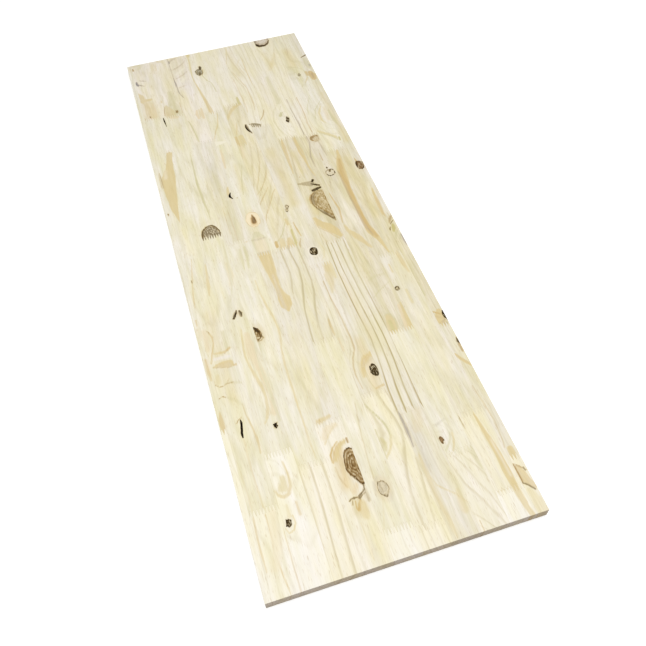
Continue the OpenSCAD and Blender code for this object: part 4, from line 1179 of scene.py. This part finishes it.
def part_round_knots(key, across, along):
    """Across as the grain feels it: pulled towards each knot's middle as water parts round a post."""
    felt = across.copy()
    for knot_across, knot_along, wide, long, look, part in KNOTS.get(key, []):
        off = across - knot_across
        reach2 = off**2 + ((along - knot_along) * wide / long / KNOT_EYE) ** 2
        post2 = (wide * part) ** 2
        felt -= off * post2 / np.maximum(reach2, post2) * 0.9
    return felt


def wavering(rng, along):
    """A slow sway of the grain: three sines with wavelengths of 90 to 500 mm."""
    full_turn = 6.28
    waves = zip(rng.uniform(90, 500, 3), rng.uniform(0, full_turn, 3), (0.35, 0.5, 0.8))
    return sum(size * np.sin(along * full_turn / length + turn) for length, turn, size in waves)


def ring_numbers(key, across, along, deep, stave_left, rng):
    """Ring number at each point, and how strongly its late wood shows."""
    sway = DRAWN_SWAY if key in LINES else FREE_SWAY
    felt = part_round_knots(key, across, along) + wavering(rng, along) * sway
    swell = np.zeros(len(across))
    for middle_across, middle_along, reach_across, reach_along, rings in SWELLS.get(key, []):
        off = np.hypot((across - middle_across) / reach_across, (along - middle_along) / reach_along)
        swell += rings * np.exp(-(off**2)) * (1 - 0.03 * deep)
    if key in LINES:
        strength, lean, lines = LINES[key]
        felt = felt - lean * deep / (BOARD_HIGH[2] - BOARD_LOW[2])
        at = np.array([np.interp(along, [p[1] for p in line], [p[0] for p in line]) for line in lines])
        gap = np.diff(at, axis=0).mean(axis=0)
        before = [at[0] - gap * k for k in range(6, 0, -1)]
        after = [at[-1] + gap * k for k in range(1, 7)]
        at = np.array([*before, *at, *after])
        rings = np.clip((felt - at[:-1]) / np.maximum(np.diff(at, axis=0), 0.5), 0, 1).sum(axis=0)
        # A line is drawn where the late wood is full
        return rings + swell - (1 - LATE_RISE[1]), np.full(len(across), strength)
    pith_across, pith_deep, width, lean_across, lean_deep, strength = PITH[key]
    metres = (along - along.mean()) / 1000
    off_across = felt - stave_left - pith_across - lean_across * metres
    off_deep = pith_deep + lean_deep * metres + wavering(rng, along) * 2 - deep
    rings = np.hypot(off_across, off_deep) / width + rng.uniform() + swell
    return rings, np.full(len(across), strength)


# %% [markdown]
# Each knot is a cone: the branch gets thinner towards the middle of the tree and leans
# along it. So on the underside a knot is a little smaller and has moved.

# %% Knots
# A distance that counts as far away
FAR_OFF = 4.0
# For each mm of depth: how much a knot shrinks, and how far it moves across and along
KNOT_SHRINK = 0.012
KNOT_LEAN = (0.12, -0.25)


def knot_places(key, across, along, deep, rng):
    """Distance from the nearest knot in its own radii, the place in it, its colour, rims and figure."""
    count = len(across)
    radius = np.full(count, FAR_OFF)
    place = np.zeros((count, 3))
    colour = np.zeros((count, 4))
    blacks = np.zeros((count, 4))
    figure = np.ones((count, 3))
    for knot_across, knot_along, wide, long, name, part in KNOTS.get(key, []):
        shrink = 1 - KNOT_SHRINK * deep
        u = (across - knot_across - KNOT_LEAN[0] * deep) / (wide * shrink)
        v = (along - knot_along - KNOT_LEAN[1] * deep) / (long * shrink)
        here = np.minimum(np.hypot(u, v), FAR_OFF)
        nearer = here < radius
        radius = np.where(nearer, here, radius)
        place[nearer] = np.stack([u, v, np.full(count, rng.uniform(0, 50))], axis=1)[nearer]
        wood, pale_flecks, dark_flecks, ringed, rim, heart, halo, rim_width = LOOKS[name]
        colour[nearer] = (*linear(wood), dark_flecks)
        blacks[nearer] = (rim, heart, halo, rim_width * wide)
        figure[nearer] = (wide, pale_flecks, ringed)
    return radius, place, colour, blacks, figure


print("a knot's size at the underside:", 1 - KNOT_SHRINK * 18)

# %% [markdown]
# Streaks and washes lean with the grain too. A later streak lies over an earlier one by
# the share that its edge lets through, and most streaks stop at the rim of a knot. Cracks
# close up with depth.

# %% Streaks, washes and cracks
# Shift across for each mm of depth, and how much a crack narrows
STREAK_LEAN = 0.2
WASH_LEAN = 0.3
CRACK_TAPER = 0.9


def streak_places(key, across, along, deep, radius):
    """Distance to the nearest streak's edge over its softness, and its colour with its strength."""
    nearest = np.full(len(across), FAR_OFF)
    stain = np.zeros((len(across), 4))
    for name, strength, soft, *path in STREAKS.get(key, []):
        edge = stroke_distance(across + STREAK_LEAN * deep, along, path) / soft
        # Inside a knot's rim this is above 0 and grows fast, so the streak stops there
        if name not in OVER_KNOTS:
            edge = np.maximum(edge, (1.02 - radius) * 12)
        laid = np.clip(0.5 - edge / 2, 0, 1)
        share = np.where(nearest > 1, edge < nearest, laid)[:, None]
        stain += share * (np.array([*linear(STAINS[name]), strength]) - stain)
        nearest = np.minimum(nearest, edge)
    return nearest, stain


def washed_tone(key, clear, across, along, deep):
    """The clear wood's colour with every wash mixed in, each fading over its softness."""
    tone = np.tile(linear(clear), (len(across), 1))
    for name, strength, soft, *path in WASHES.get(key, []):
        edge = stroke_distance(across + WASH_LEAN * deep, along, path)
        share = strength * np.clip(0.5 - edge / (2 * soft), 0, 1) ** 1.5
        tone += share[:, None] * (linear(STAINS[name]) - tone)
    return tone


def crack_places(key, across, along, deep):
    """Distance to the nearest crack's side in mm, and how far down the crack cuts the face there."""
    edge = np.full(len(across), FAR_OFF)
    cut = np.zeros(len(across))
    for depth, path in CRACKS.get(key, []):
        here = stroke_distance(across, along, path)
        widest = max(p[2] for p in path)
        cut = np.maximum(cut, depth * np.clip(-here / widest, 0, 1))
        edge = np.minimum(edge, here + deep * CRACK_TAPER)
    return edge, np.where(deep < 0.01, cut, 0)


print("a stain keeps off a knot unless it is", OVER_KNOTS)

# %% [markdown]
# Glue lines are hair-thin brown lines, hardly seen in clear wood. A finger joint's line
# follows the zigzag, and its slope makes it thinner than the step along the grain.

# %% Distance to the glue
# A finger's flank is so steep that its distance across is this share of its distance along
FLANK = 0.18


def glue_places(x_mm, y_mm, ends):
    """Distance in mm to the block's glued sides and finger joints."""
    far, near = ends
    left, right = far[0, 0], far[-1, 0]
    glue = np.full(len(x_mm), 2.0)
    if left > BOARD_LOW[0] + 0.01:
        glue = np.minimum(glue, x_mm - left)
    if right < BOARD_HIGH[0] - 0.01:
        glue = np.minimum(glue, right - x_mm)
    for outline in (far, near):
        if np.ptp(outline[:, 1]) > 0.01:
            off = np.abs(y_mm - np.interp(x_mm, *outline.T))
            glue = np.minimum(glue, off * FLANK)
    return glue


print("glue between fingers is", FLANK, "as wide along the grain")

# %% [markdown]
# ## Put a block together
# The arrays become a mesh, and each field becomes an attribute of its vertices. The
# first material is for planed faces and the second for sawn end grain, which drinks
# light and looks darker because the eye sees into open cells.

# %% Make one block
def new_attribute(mesh, name, kind, values):
    """One value for each vertex, under a name that the material asks for."""
    attribute = mesh.attributes.new(name, kind, "POINT")
    field = {"FLOAT": "value", "FLOAT_VECTOR": "vector", "FLOAT_COLOR": "color"}[kind]
    attribute.data.foreach_set(field, np.ascontiguousarray(values, dtype=np.float32).ravel())


def make_block(node, materials):
    """The finished block that replaces one node of the frame."""
    key = stave_and_block(node)
    rng = np.random.default_rng(key[0] * 100 + key[1])
    points, faces, end_grain, x, ends = block_surface(key, node)
    across, along, deep = joiner_measures(points / 1000)
    rings, strength = ring_numbers(key, across, along, deep, x[0] - BOARD_LOW[0], rng)
    radius, place, knot_colour, knot_blacks, knot_figure = knot_places(key, across, along, deep, rng)
    streak, stain = streak_places(key, across, along, deep, radius)
    plain, mottled = TONES[CLEAR_WOOD[key[0]][key[1] - 1]]
    tone = washed_tone(key, plain, across, along, deep)
    crack, cut = crack_places(key, across, along, deep)
    glue = glue_places(points[:, 0], points[:, 1], ends)
    points = ease_arrises(points)
    points[:, 2] -= cut

    mesh = bpy.data.meshes.new("pine_" + node)
    mesh.from_pydata(points / 1000, [], faces.tolist())
    mesh.polygons.foreach_set("material_index", end_grain.astype(np.int32))
    numbers = {"streak": streak, "ring": rings, "late_wood": strength}
    numbers |= {"knot": radius, "crack": crack, "glue": glue}
    vectors = {"knot_place": place, "knot_figure": knot_figure}
    tone = np.insert(tone, 3, mottled, axis=1)
    colours = {"tone": tone, "stain": stain, "knot_colour": knot_colour, "knot_blacks": knot_blacks}
    for kind, fields in (("FLOAT", numbers), ("FLOAT_VECTOR", vectors), ("FLOAT_COLOR", colours)):
        for name, values in fields.items():
            new_attribute(mesh, name, kind, values)
    for material in materials:
        mesh.materials.append(material)
    mesh.update()
    block = bpy.data.objects.new("pine_" + node, mesh)
    bpy.context.scene.collection.objects.link(block)
    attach(block, "root")
    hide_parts(node)
    return block


# %% [markdown]
# ## Planed pine
# The face is softwood, planed and sanded to about 150 grit and left bare. To the eye it
# is pale and nearly matt. Spring wood is cream, late wood is honey-brown and ends
# crisply where the winter stopped it. Fibres 0.3 to 1 mm wide run along the grain, with
# resin canals as short brown dashes.

# %% One helper for nodes
def add(tree, kind, inputs=None, **settings):
    """Adds a node with its settings, and gives each input a value or a link. Returns its outputs."""
    node = tree.nodes.new("ShaderNode" + kind)
    for name, value in settings.items():
        setattr(node, name, value)
    for socket, value in (inputs or {}).items():
        if isinstance(value, bpy.types.NodeSocket):
            tree.links.new(value, node.inputs[socket])
        else:
            node.inputs[socket].default_value = value
    return node.outputs


def rgba(hex_colour):
    """A colour socket's four numbers."""
    return (*linear(hex_colour), 1.0)


def empty_tree(owner):
    """The node tree of a material or a world, with nothing in it yet."""
    owner.use_nodes = True
    owner.node_tree.nodes.clear()
    return owner.node_tree


print("white paper is", rgba("#FFFFFF"))

# %% [markdown]
# Something dark that soaks into wood takes its blue first and its red last, so its edge
# is brown and not grey. Each of the three colours therefore gets a power of its own on
# the share that has soaked in, and warmth from 0 to 1 says how far the powers part.

# %% Soaking one colour into another
# Red, green and blue
SOAK_POWERS = (0.4, 0.15, -0.2)


def soak(tree, share, under, over, warmth):
    """Under with over soaked in: under plus the share to the power 1 + warmth times each colour's own."""
    shares = []
    for spread in SOAK_POWERS:
        power = add(tree, "Math", {0: warmth, 1: spread, 2: 1.0}, operation="MULTIPLY_ADD")[0]
        shares.append(add(tree, "Math", {0: share, 1: power}, operation="POWER", use_clamp=True)[0])
    by_colour = add(tree, "CombineXYZ", dict(enumerate(shares)))[0]
    change = add(tree, "VectorMath", {0: over, 1: under}, operation="SUBTRACT")[0]
    return add(tree, "VectorMath", {0: change, 1: by_colour, 2: under}, operation="MULTIPLY_ADD")[0]


print("powers at full warmth:", [1 + spread for spread in SOAK_POWERS])

# %% [markdown]
# The fine texture is noise stretched along Y, which is the grain. Its scale is set from
# real widths: a noise of scale 1 has features one unit wide, so 1000 / 0.6 across makes
# fibres 0.6 mm wide.

# %% Fibres and mottling
def stretched_noise(tree, wide, long, detail, seed):
    """Noise whose blotches are wide mm across the grain and long mm along it, from 0 to 1."""
    where = add(tree, "TexCoord")["Object"]
    scale = (1000 / wide, 1000 / long, 1000 / wide)
    spot = (seed, seed * 1.7, seed * 0.6)
    placed = add(tree, "Mapping", {"Vector": where, "Location": spot, "Scale": scale})[0]
    return add(tree, "TexNoise", {"Vector": placed, "Scale": 1.0, "Detail": detail, "Roughness": 0.6})[0]


print("a fibre 0.6 mm wide needs a scale of", round(1000 / 0.6))

# %% [markdown]
# A ring is pale for two thirds of its width. Then it darkens towards the winter line and
# stops there at once. Some rings show better than others, and each fades here and there
# along the grain. Bold lines are more even than faint ones, so they sway less.

# %% Late wood
def late_wood(tree):
    """How dark the ring is, from 0 to 1: it rises over a ring's last third and falls back at its end."""
    ring = add(tree, "Attribute", attribute_name="ring")["Fac"]
    show = add(tree, "Attribute", attribute_name="late_wood")["Fac"]
    sway = stretched_noise(tree, 9, 60, 2, 23.0)
    fading = stretched_noise(tree, 14, 80, 1, 37.0)
    sway_size = add(tree, "MapRange", {0: show, 1: 0.2, 2: 0.5, 3: 0.6, 4: 0.12})[0]
    swayed = add(tree, "Math", {0: sway, 1: sway_size, 2: ring}, operation="MULTIPLY_ADD")[0]
    share = add(tree, "Math", {0: swayed}, operation="FRACT")[0]
    rise = {0: share, 1: LATE_RISE[0], 2: LATE_RISE[1]}
    rise = add(tree, "MapRange", rise, interpolation_type="SMOOTHSTEP")[0]
    fall = add(tree, "MapRange", {0: share, 1: LATE_FALL[0], 2: LATE_FALL[1], 3: 1.0, 4: 0.0})[0]
    number = add(tree, "Math", {0: swayed}, operation="FLOOR")[0]
    lot = add(tree, "TexWhiteNoise", {"W": number}, noise_dimensions="1D")[0]
    weight = add(tree, "MapRange", {0: lot, 3: 0.7, 4: 1.0})[0]
    faded = add(tree, "MapRange", {0: fading, 1: 0.32, 2: 0.55, 3: 0.55, 4: 1.0})[0]
    late = rise
    for share in (fall, weight, faded):
        late = add(tree, "Math", {0: late, 1: share}, operation="MULTIPLY")[0]
    return add(tree, "Math", {0: late, 1: show}, operation="MULTIPLY", use_clamp=True)[0]


print("late wood takes up", round(LATE_FALL[1] - LATE_RISE[0], 2), "of a ring")

# %% [markdown]
# Bare wood is its tone, shaded by three sizes of noise: patches that are yellower,
# mottling a few millimetres wide, and fibres. Mottled wood is a little yellower where it
# is darker, so the shade counts twice in blue. The late wood multiplies the tone, and
# resin canals are short brown dashes on top.

# %% Bare wood
def grain_colour(tree):
    """Bare wood: tone, mottling, late wood and fibres. Returns the colour, the late wood and the fibre."""
    tone, mottled = (add(tree, "Attribute", attribute_name="tone")[k] for k in ("Color", "Alpha"))
    late = late_wood(tree)
    fibre = stretched_noise(tree, 0.6, 30, 3, 3.1)
    band = stretched_noise(tree, 2.4, 50, 2, 91.0)
    mottle = stretched_noise(tree, 6, 60, 2, 11.0)
    patch = stretched_noise(tree, 24, 130, 2, 51.0)
    which = add(tree, "MapRange", {0: patch, 1: 0.38, 2: 0.68})[0]
    yellowed = add(tree, "Mix", {0: which, 6: rgba("#FEFDFC"), 7: rgba("#FAF7E2")}, data_type="RGBA")[2]
    shade = add(tree, "MapRange", {0: mottle, 1: 0.3, 2: 0.75, 3: 0.03, 4: -0.075})[0]
    shade = add(tree, "Math", {0: shade, 1: mottled, 2: 1.0}, operation="MULTIPLY_ADD")[0]
    banded = add(tree, "MapRange", {0: band, 1: 0.25, 2: 0.75, 3: -0.045, 4: 0.045})[0]
    banded = add(tree, "Math", {0: banded, 1: mottled, 2: 1.0}, operation="MULTIPLY_ADD")[0]
    warm = add(tree, "CombineXYZ", {0: 1.0, 1: 1.0, 2: shade})[0]
    shade = add(tree, "Math", {0: shade, 1: banded}, operation="MULTIPLY")[0]
    colour = tone
    for factor in (yellowed, shade, warm):
        colour = add(tree, "VectorMath", {0: colour, 1: factor}, operation="MULTIPLY")[0]
    late_hue = add(tree, "Mix", {0: which, 6: rgba("#CDC09A"), 7: rgba("#CAC198")}, data_type="RGBA")[2]
    late_colour = add(tree, "VectorMath", {0: tone, 1: late_hue}, operation="MULTIPLY")[0]
    colour = add(tree, "Mix", {0: late, 6: colour, 7: late_colour}, data_type="RGBA")[2]
    canal = stretched_noise(tree, 0.9, 9, 0, 71.0)
    canal = add(tree, "MapRange", {0: canal, 1: 0.68, 2: 0.8, 3: 0.0, 4: 0.3})[0]
    colour = add(tree, "Mix", {0: canal, 6: colour, 7: rgba("#B99B6C")}, data_type="RGBA")[2]
    fibre_light = add(tree, "MapRange", {0: fibre, 1: 0.2, 2: 0.8, 3: 0.94, 4: 1.06})[0]
    colour = add(tree, "VectorMath", {0: colour, 1: fibre_light}, operation="MULTIPLY")[0]
    return colour, late, fibre


# %% [markdown]
# Streaks soak into the fibres unevenly, so the distance to a streak's edge is pushed to
# and fro by noise along the fibres before it becomes a share of stain. The darker the
# stain is, the browner its edge.

# %% Streaks over the grain
def stained_colour(tree, colour, fibre):
    """The colour with the streaks laid over it, feathered by the fibres."""
    streak = add(tree, "Attribute", attribute_name="streak")["Fac"]
    stain = add(tree, "Attribute", attribute_name="stain")
    feather = stretched_noise(tree, 1.4, 24, 2, 31.0)
    pushed = add(tree, "MapRange", {0: feather, 1: 0.25, 2: 0.75, 3: -1.0, 4: 1.0})[0]
    edge = add(tree, "Math", {0: pushed, 1: 0.7, 2: streak}, operation="MULTIPLY_ADD")[0]
    share = add(tree, "MapRange", {0: edge, 1: 1.0, 2: -1.0}, interpolation_type="SMOOTHSTEP")[0]
    share = add(tree, "Math", {0: share, 1: stain["Alpha"]}, operation="MULTIPLY")[0]
    soaked = stretched_noise(tree, 3.5, 36, 2, 81.0)
    soaked = add(tree, "MapRange", {0: soaked, 1: 0.3, 2: 0.65, 3: 0.85, 4: 1.0})[0]
    share = add(tree, "Math", {0: share, 1: soaked}, operation="MULTIPLY")[0]
    lively = add(tree, "MapRange", {0: fibre, 1: 0.2, 2: 0.8, 3: 0.86, 4: 1.1})[0]
    stain_colour = add(tree, "VectorMath", {0: stain["Color"], 1: lively}, operation="MULTIPLY")[0]
    green = add(tree, "SeparateColor", {0: stain["Color"]})["Green"]
    darkness = add(tree, "Math", {0: 1.0, 1: green}, operation="SUBTRACT")[0]
    warmth = add(tree, "Math", {0: darkness, 1: 2.2}, operation="POWER", use_clamp=True)[0]
    return soak(tree, share, colour, stain_colour, warmth)


# %% [markdown]
# The distance from a knot's edge in millimetres, bent by a little noise so that no two
# are alike, draws its rim and its own rings. Rings 3.4 mm apart are drawn as coarse as
# they need to show. Flecks of noise darken and lighten the knot's wood, and a brown halo
# fades out round it.

# %% Knots over the grain
KNOT_RING = 3.4


def knotted_colour(tree, colour):
    """The colour with the knots laid over it."""
    names = ("knot", "knot_place", "knot_colour", "knot_blacks", "knot_figure")
    radius, place, wood, blacks, figure = (add(tree, "Attribute", attribute_name=n) for n in names)
    radius, place, figure = radius["Fac"], place["Vector"], figure["Vector"]
    rim_black, heart_black, halo_share = add(tree, "SeparateColor", {0: blacks["Color"]})
    half_width, pale_flecks, ringed = add(tree, "SeparateXYZ", {0: figure})
    slow = add(tree, "TexNoise", {"Vector": place, "Scale": 1.4, "Detail": 1.5})[0]
    broken = add(tree, "TexNoise", {"Vector": place, "Scale": 2.6, "Detail": 2.0})[0]
    specks = stretched_noise(tree, 2.2, 7.0, 3, 61.0)
    slow = add(tree, "MapRange", {0: slow, 1: 0.25, 2: 0.75, 3: -1.1, 4: 1.1})[0]
    quick = add(tree, "MapRange", {0: specks, 1: 0.25, 2: 0.75, 3: -0.7, 4: 0.7})[0]
    bend = add(tree, "Math", {0: slow, 1: quick}, operation="ADD")[0]
    edge = add(tree, "Math", {0: radius, 1: 1.0}, operation="SUBTRACT")[0]
    edge = add(tree, "Math", {0: edge, 1: half_width, 2: bend}, operation="MULTIPLY_ADD")[0]
    inside = add(tree, "MapRange", {0: edge, 1: 0.35, 2: -0.35})[0]
    rim_from = add(tree, "Math", {0: blacks["Alpha"], 1: -1.3}, operation="MULTIPLY")[0]
    rim_full = add(tree, "Math", {0: blacks["Alpha"], 1: -0.6}, operation="MULTIPLY")[0]
    rim = add(tree, "MapRange", {0: edge, 1: rim_from, 2: rim_full}, interpolation_type="SMOOTHSTEP")[0]
    chipped = add(tree, "MapRange", {0: broken, 1: 0.4, 2: 0.6, 3: 1.0, 4: 0.35})[0]
    for share in (chipped, rim_black):
        rim = add(tree, "Math", {0: rim, 1: share}, operation="MULTIPLY")[0]
    heart = add(tree, "MapRange", {0: radius, 1: 0.42, 2: 0.15}, interpolation_type="SMOOTHSTEP")[0]
    heart = add(tree, "Math", {0: heart, 1: heart_black}, operation="MULTIPLY")[0]
    black = add(tree, "Math", {0: rim, 1: heart}, operation="MAXIMUM")[0]
    rings = add(tree, "Math", {0: edge, 1: 2 * math.pi / KNOT_RING}, operation="MULTIPLY")[0]
    rings = add(tree, "Math", {0: rings}, operation="SINE")[0]
    flecks = add(tree, "MapRange", {0: specks, 1: 0.38, 2: 0.62, 3: -1.0, 4: 1.0})[0]
    flecks = add(tree, "Mix", {0: ringed, 2: flecks, 3: rings})[0]
    dark = add(tree, "Math", {0: flecks, 1: -1.0}, operation="MULTIPLY", use_clamp=True)[0]
    dark = add(tree, "Math", {0: dark, 1: wood["Alpha"]}, operation="MULTIPLY")[0]
    dark = add(tree, "Math", {0: dark, 1: black}, operation="MAXIMUM")[0]
    pale = add(tree, "Math", {0: flecks, 1: pale_flecks}, operation="MULTIPLY", use_clamp=True)[0]
    body = add(tree, "Mix", {0: pale, 6: wood["Color"], 7: rgba("#EBDDBA")}, data_type="RGBA")[2]
    body = soak(tree, dark, body, tuple(linear("#1E1405")), 0.8)
    halo = add(tree, "MapRange", {0: radius, 1: 2.0, 2: 0.95}, interpolation_type="SMOOTHSTEP")[0]
    halo = add(tree, "Math", {0: halo, 1: halo_share}, operation="MULTIPLY")[0]
    colour = add(tree, "Mix", {0: halo, 6: colour, 7: rgba("#C9A97A")}, data_type="RGBA")[2]
    return soak(tree, inside, colour, body, 0.4)


print("a knot's own rings are", KNOT_RING, "mm apart")

# %% [markdown]
# Cracks are painted nearly black, as painted shade, because no light comes back out of them,
# and a glue line is a slight darkening a tenth of a millimetre wide on each side.

# %% Cracks and glue over everything
def cracked_colour(tree, colour):
    """The colour with glue lines, and the painted shade of cracks, laid over it."""
    crack = add(tree, "Attribute", attribute_name="crack")["Fac"]
    glue = add(tree, "Attribute", attribute_name="glue")["Fac"]
    ragged = stretched_noise(tree, 1.0, 4, 2, 41.0)
    ragged = add(tree, "MapRange", {0: ragged, 1: 0.3, 2: 0.7, 3: -0.35, 4: 0.35})[0]
    side = add(tree, "Math", {0: crack, 1: ragged}, operation="ADD")[0]
    # Painted shade: where a crack is open it is drawn nearly black
    crack_shade = add(tree, "MapRange", {0: side, 1: 0.25, 2: -0.35})[0]
    glued = add(tree, "MapRange", {0: glue, 1: 0.18, 2: 0.05, 3: 0.0, 4: 0.3})[0]
    colour = add(tree, "Mix", {0: glued, 6: colour, 7: rgba("#B79C6E")}, data_type="RGBA")[2]
    return soak(tree, crack_shade, colour, tuple(linear("#1A130A")), 0.9)


print("cracks are", linear("#1A130A").round(4))

# %% [markdown]
# The face is the grain, then knots, streaks, glue and cracks over it in turn. Fibres and
# late wood stand up a tenth of a millimetre. Sanded pine scatters light almost evenly, so
# it is rough, and its sheen is weaker than that of a smooth surface.

# %% Planed pine
planed = bpy.data.materials.new("planed_pine")
tree = empty_tree(planed)
colour, late, fibre = grain_colour(tree)
colour = knotted_colour(tree, colour)
colour = stained_colour(tree, colour, fibre)
colour = cracked_colour(tree, colour)
height = add(tree, "Math", {0: late, 1: 0.6, 2: fibre}, operation="MULTIPLY_ADD")[0]
relief = add(tree, "Bump", {"Strength": 0.25, "Distance": 0.0001, "Height": height})[0]
rough = add(tree, "MapRange", {0: fibre, 1: 0.2, 2: 0.8, 3: 0.68, 4: 0.56})[0]
shader = add(tree, "BsdfPrincipled", {
    "Base Color": colour, "Roughness": rough, "Normal": relief, "IOR": 1.45, "Specular IOR Level": 0.12,
})[0]
add(tree, "OutputMaterial", {0: shader})
print("planed pine has", len(tree.nodes), "nodes")

# %% [markdown]
# ## Sawn end grain
# The two narrow ends are cut straight across by a fine saw. Here the rings show as bands
# of open spring wood and dense late wood, and the whole face is browner and darker than
# the planed faces.

# %% Sawn end grain
sawn = bpy.data.materials.new("sawn_pine_end")
tree = empty_tree(sawn)
colour, _, fibre = grain_colour(tree)
colour = knotted_colour(tree, colour)
colour = stained_colour(tree, colour, fibre)
where = add(tree, "TexCoord")["Object"]
# Open cells are drawn 0.4 mm wide, and the saw's marks are 2.4 mm apart
pores = add(tree, "TexNoise", {"Vector": where, "Scale": 2600.0, "Detail": 2.0})[0]
marks = add(tree, "TexNoise", {"Vector": where, "Scale": 420.0, "Detail": 3.0})[0]
grit = add(tree, "Math", {0: pores, 1: marks}, operation="ADD")[0]
light = add(tree, "MapRange", {0: grit, 1: 0.7, 2: 1.3, 3: 0.8, 4: 1.1})[0]
colour = add(tree, "VectorMath", {0: colour, 1: light}, operation="MULTIPLY")[0]
darker = tuple(linear("#D8CFCB"))
colour = add(tree, "VectorMath", {0: colour, 1: darker}, operation="MULTIPLY")[0]
glue = add(tree, "Attribute", attribute_name="glue")["Fac"]
glued = add(tree, "MapRange", {0: glue, 1: 0.3, 2: 0.05, 3: 0.0, 4: 0.6})[0]
colour = add(tree, "Mix", {0: glued, 6: colour, 7: rgba("#8C6C45")}, data_type="RGBA")[2]
relief = add(tree, "Bump", {"Strength": 0.4, "Distance": 0.0002, "Height": grit})[0]
shader = add(tree, "BsdfPrincipled", {
    "Base Color": colour, "Roughness": 0.8, "Normal": relief, "IOR": 1.45, "Specular IOR Level": 0.2,
})[0]
add(tree, "OutputMaterial", {0: shader})
print("sawn end has", len(tree.nodes), "nodes")

# %% [markdown]
# ## Make the board
# All forty-seven blocks go through the same steps, and each takes the place of its node.

# %% Make every block
made = [make_block(node, [planed, sawn]) for node in blocks]
triangles = [sum(len(p.vertices) - 2 for p in block.data.polygons) for block in made]
print(len(made), "blocks,", sum(triangles), "triangles, most in one:", max(triangles))

# %% [markdown]
# ## Floor and light
# A pale floor reaches past the picture on all sides. It shows white to the camera and
# still takes the board's soft shadow. One large lamp overhead and a dim white world give
# the light of a white tent.

# %% Floor
HALF_FLOOR = 6.0
TENT_LIGHT = 0.42
floor_mesh = bpy.data.meshes.new("studio_floor")
floor_corners = [(x * HALF_FLOOR, y * HALF_FLOOR, 0) for x, y in ((-1, -1), (1, -1), (1, 1), (-1, 1))]
floor_mesh.from_pydata(floor_corners, [], [(0, 1, 2, 3)])
floor = bpy.data.objects.new("studio_floor", floor_mesh)
bpy.context.scene.collection.objects.link(floor)

paper = bpy.data.materials.new("white_paper")
tree = empty_tree(paper)
seen = add(tree, "LightPath")
from_below = add(tree, "NewGeometry")["Backfacing"]
rays = {0: seen["Is Camera Ray"], 1: seen["Is Glossy Ray"]}
direct = add(tree, "Math", rays, operation="MAXIMUM")[0]
matt = add(tree, "BsdfDiffuse", {"Color": rgba("#E6E6E6")})[0]
glow = add(tree, "Emission", {"Color": rgba("#FFFFFF"), "Strength": TENT_LIGHT})[0]
lit = add(tree, "AddShader", {0: matt, 1: glow})[0]
shown = add(tree, "MixShader", {0: direct, 1: matt, 2: lit})[0]
clear = add(tree, "BsdfTransparent")[0]
sheet = add(tree, "MixShader", {0: from_below, 1: shown, 2: clear})[0]
add(tree, "OutputMaterial", {0: sheet})
floor_mesh.materials.append(paper)
print("the floor is", 2 * HALF_FLOOR, "m wide")

# %% World and lamp
world = bpy.data.worlds.new("white_tent")
bpy.context.scene.world = world
tree = empty_tree(world)
seen = add(tree, "LightPath")["Is Camera Ray"]
tent = add(tree, "Background", {"Color": rgba("#FFFFFF"), "Strength": TENT_LIGHT})[0]
white = add(tree, "Background", {"Color": rgba("#FFFFFF"), "Strength": 1.0})[0]
sky = add(tree, "MixShader", {0: seen, 1: tent, 2: white})[0]
add(tree, "OutputWorld", {0: sky})

lamp_data = bpy.data.lights.new("overhead", "AREA")
lamp_data.size = 2.0
lamp_data.energy = 45.0
lamp = bpy.data.objects.new("overhead", lamp_data)
lamp.location = (0.0, -0.4, 2.3)
bpy.context.scene.collection.objects.link(lamp)
print("lamp of", lamp_data.energy, "W, a tent of", TENT_LIGHT)

# %% Colour as it is
bpy.context.scene.view_settings.view_transform = "Standard"

# %% [markdown]
# ## Finish
# The looks must not change the size. At the end the view layer is brought up to date.
# The looks must not change the size, so both boxes are written down side by side.

# %% Finish
bpy.context.view_layer.update()
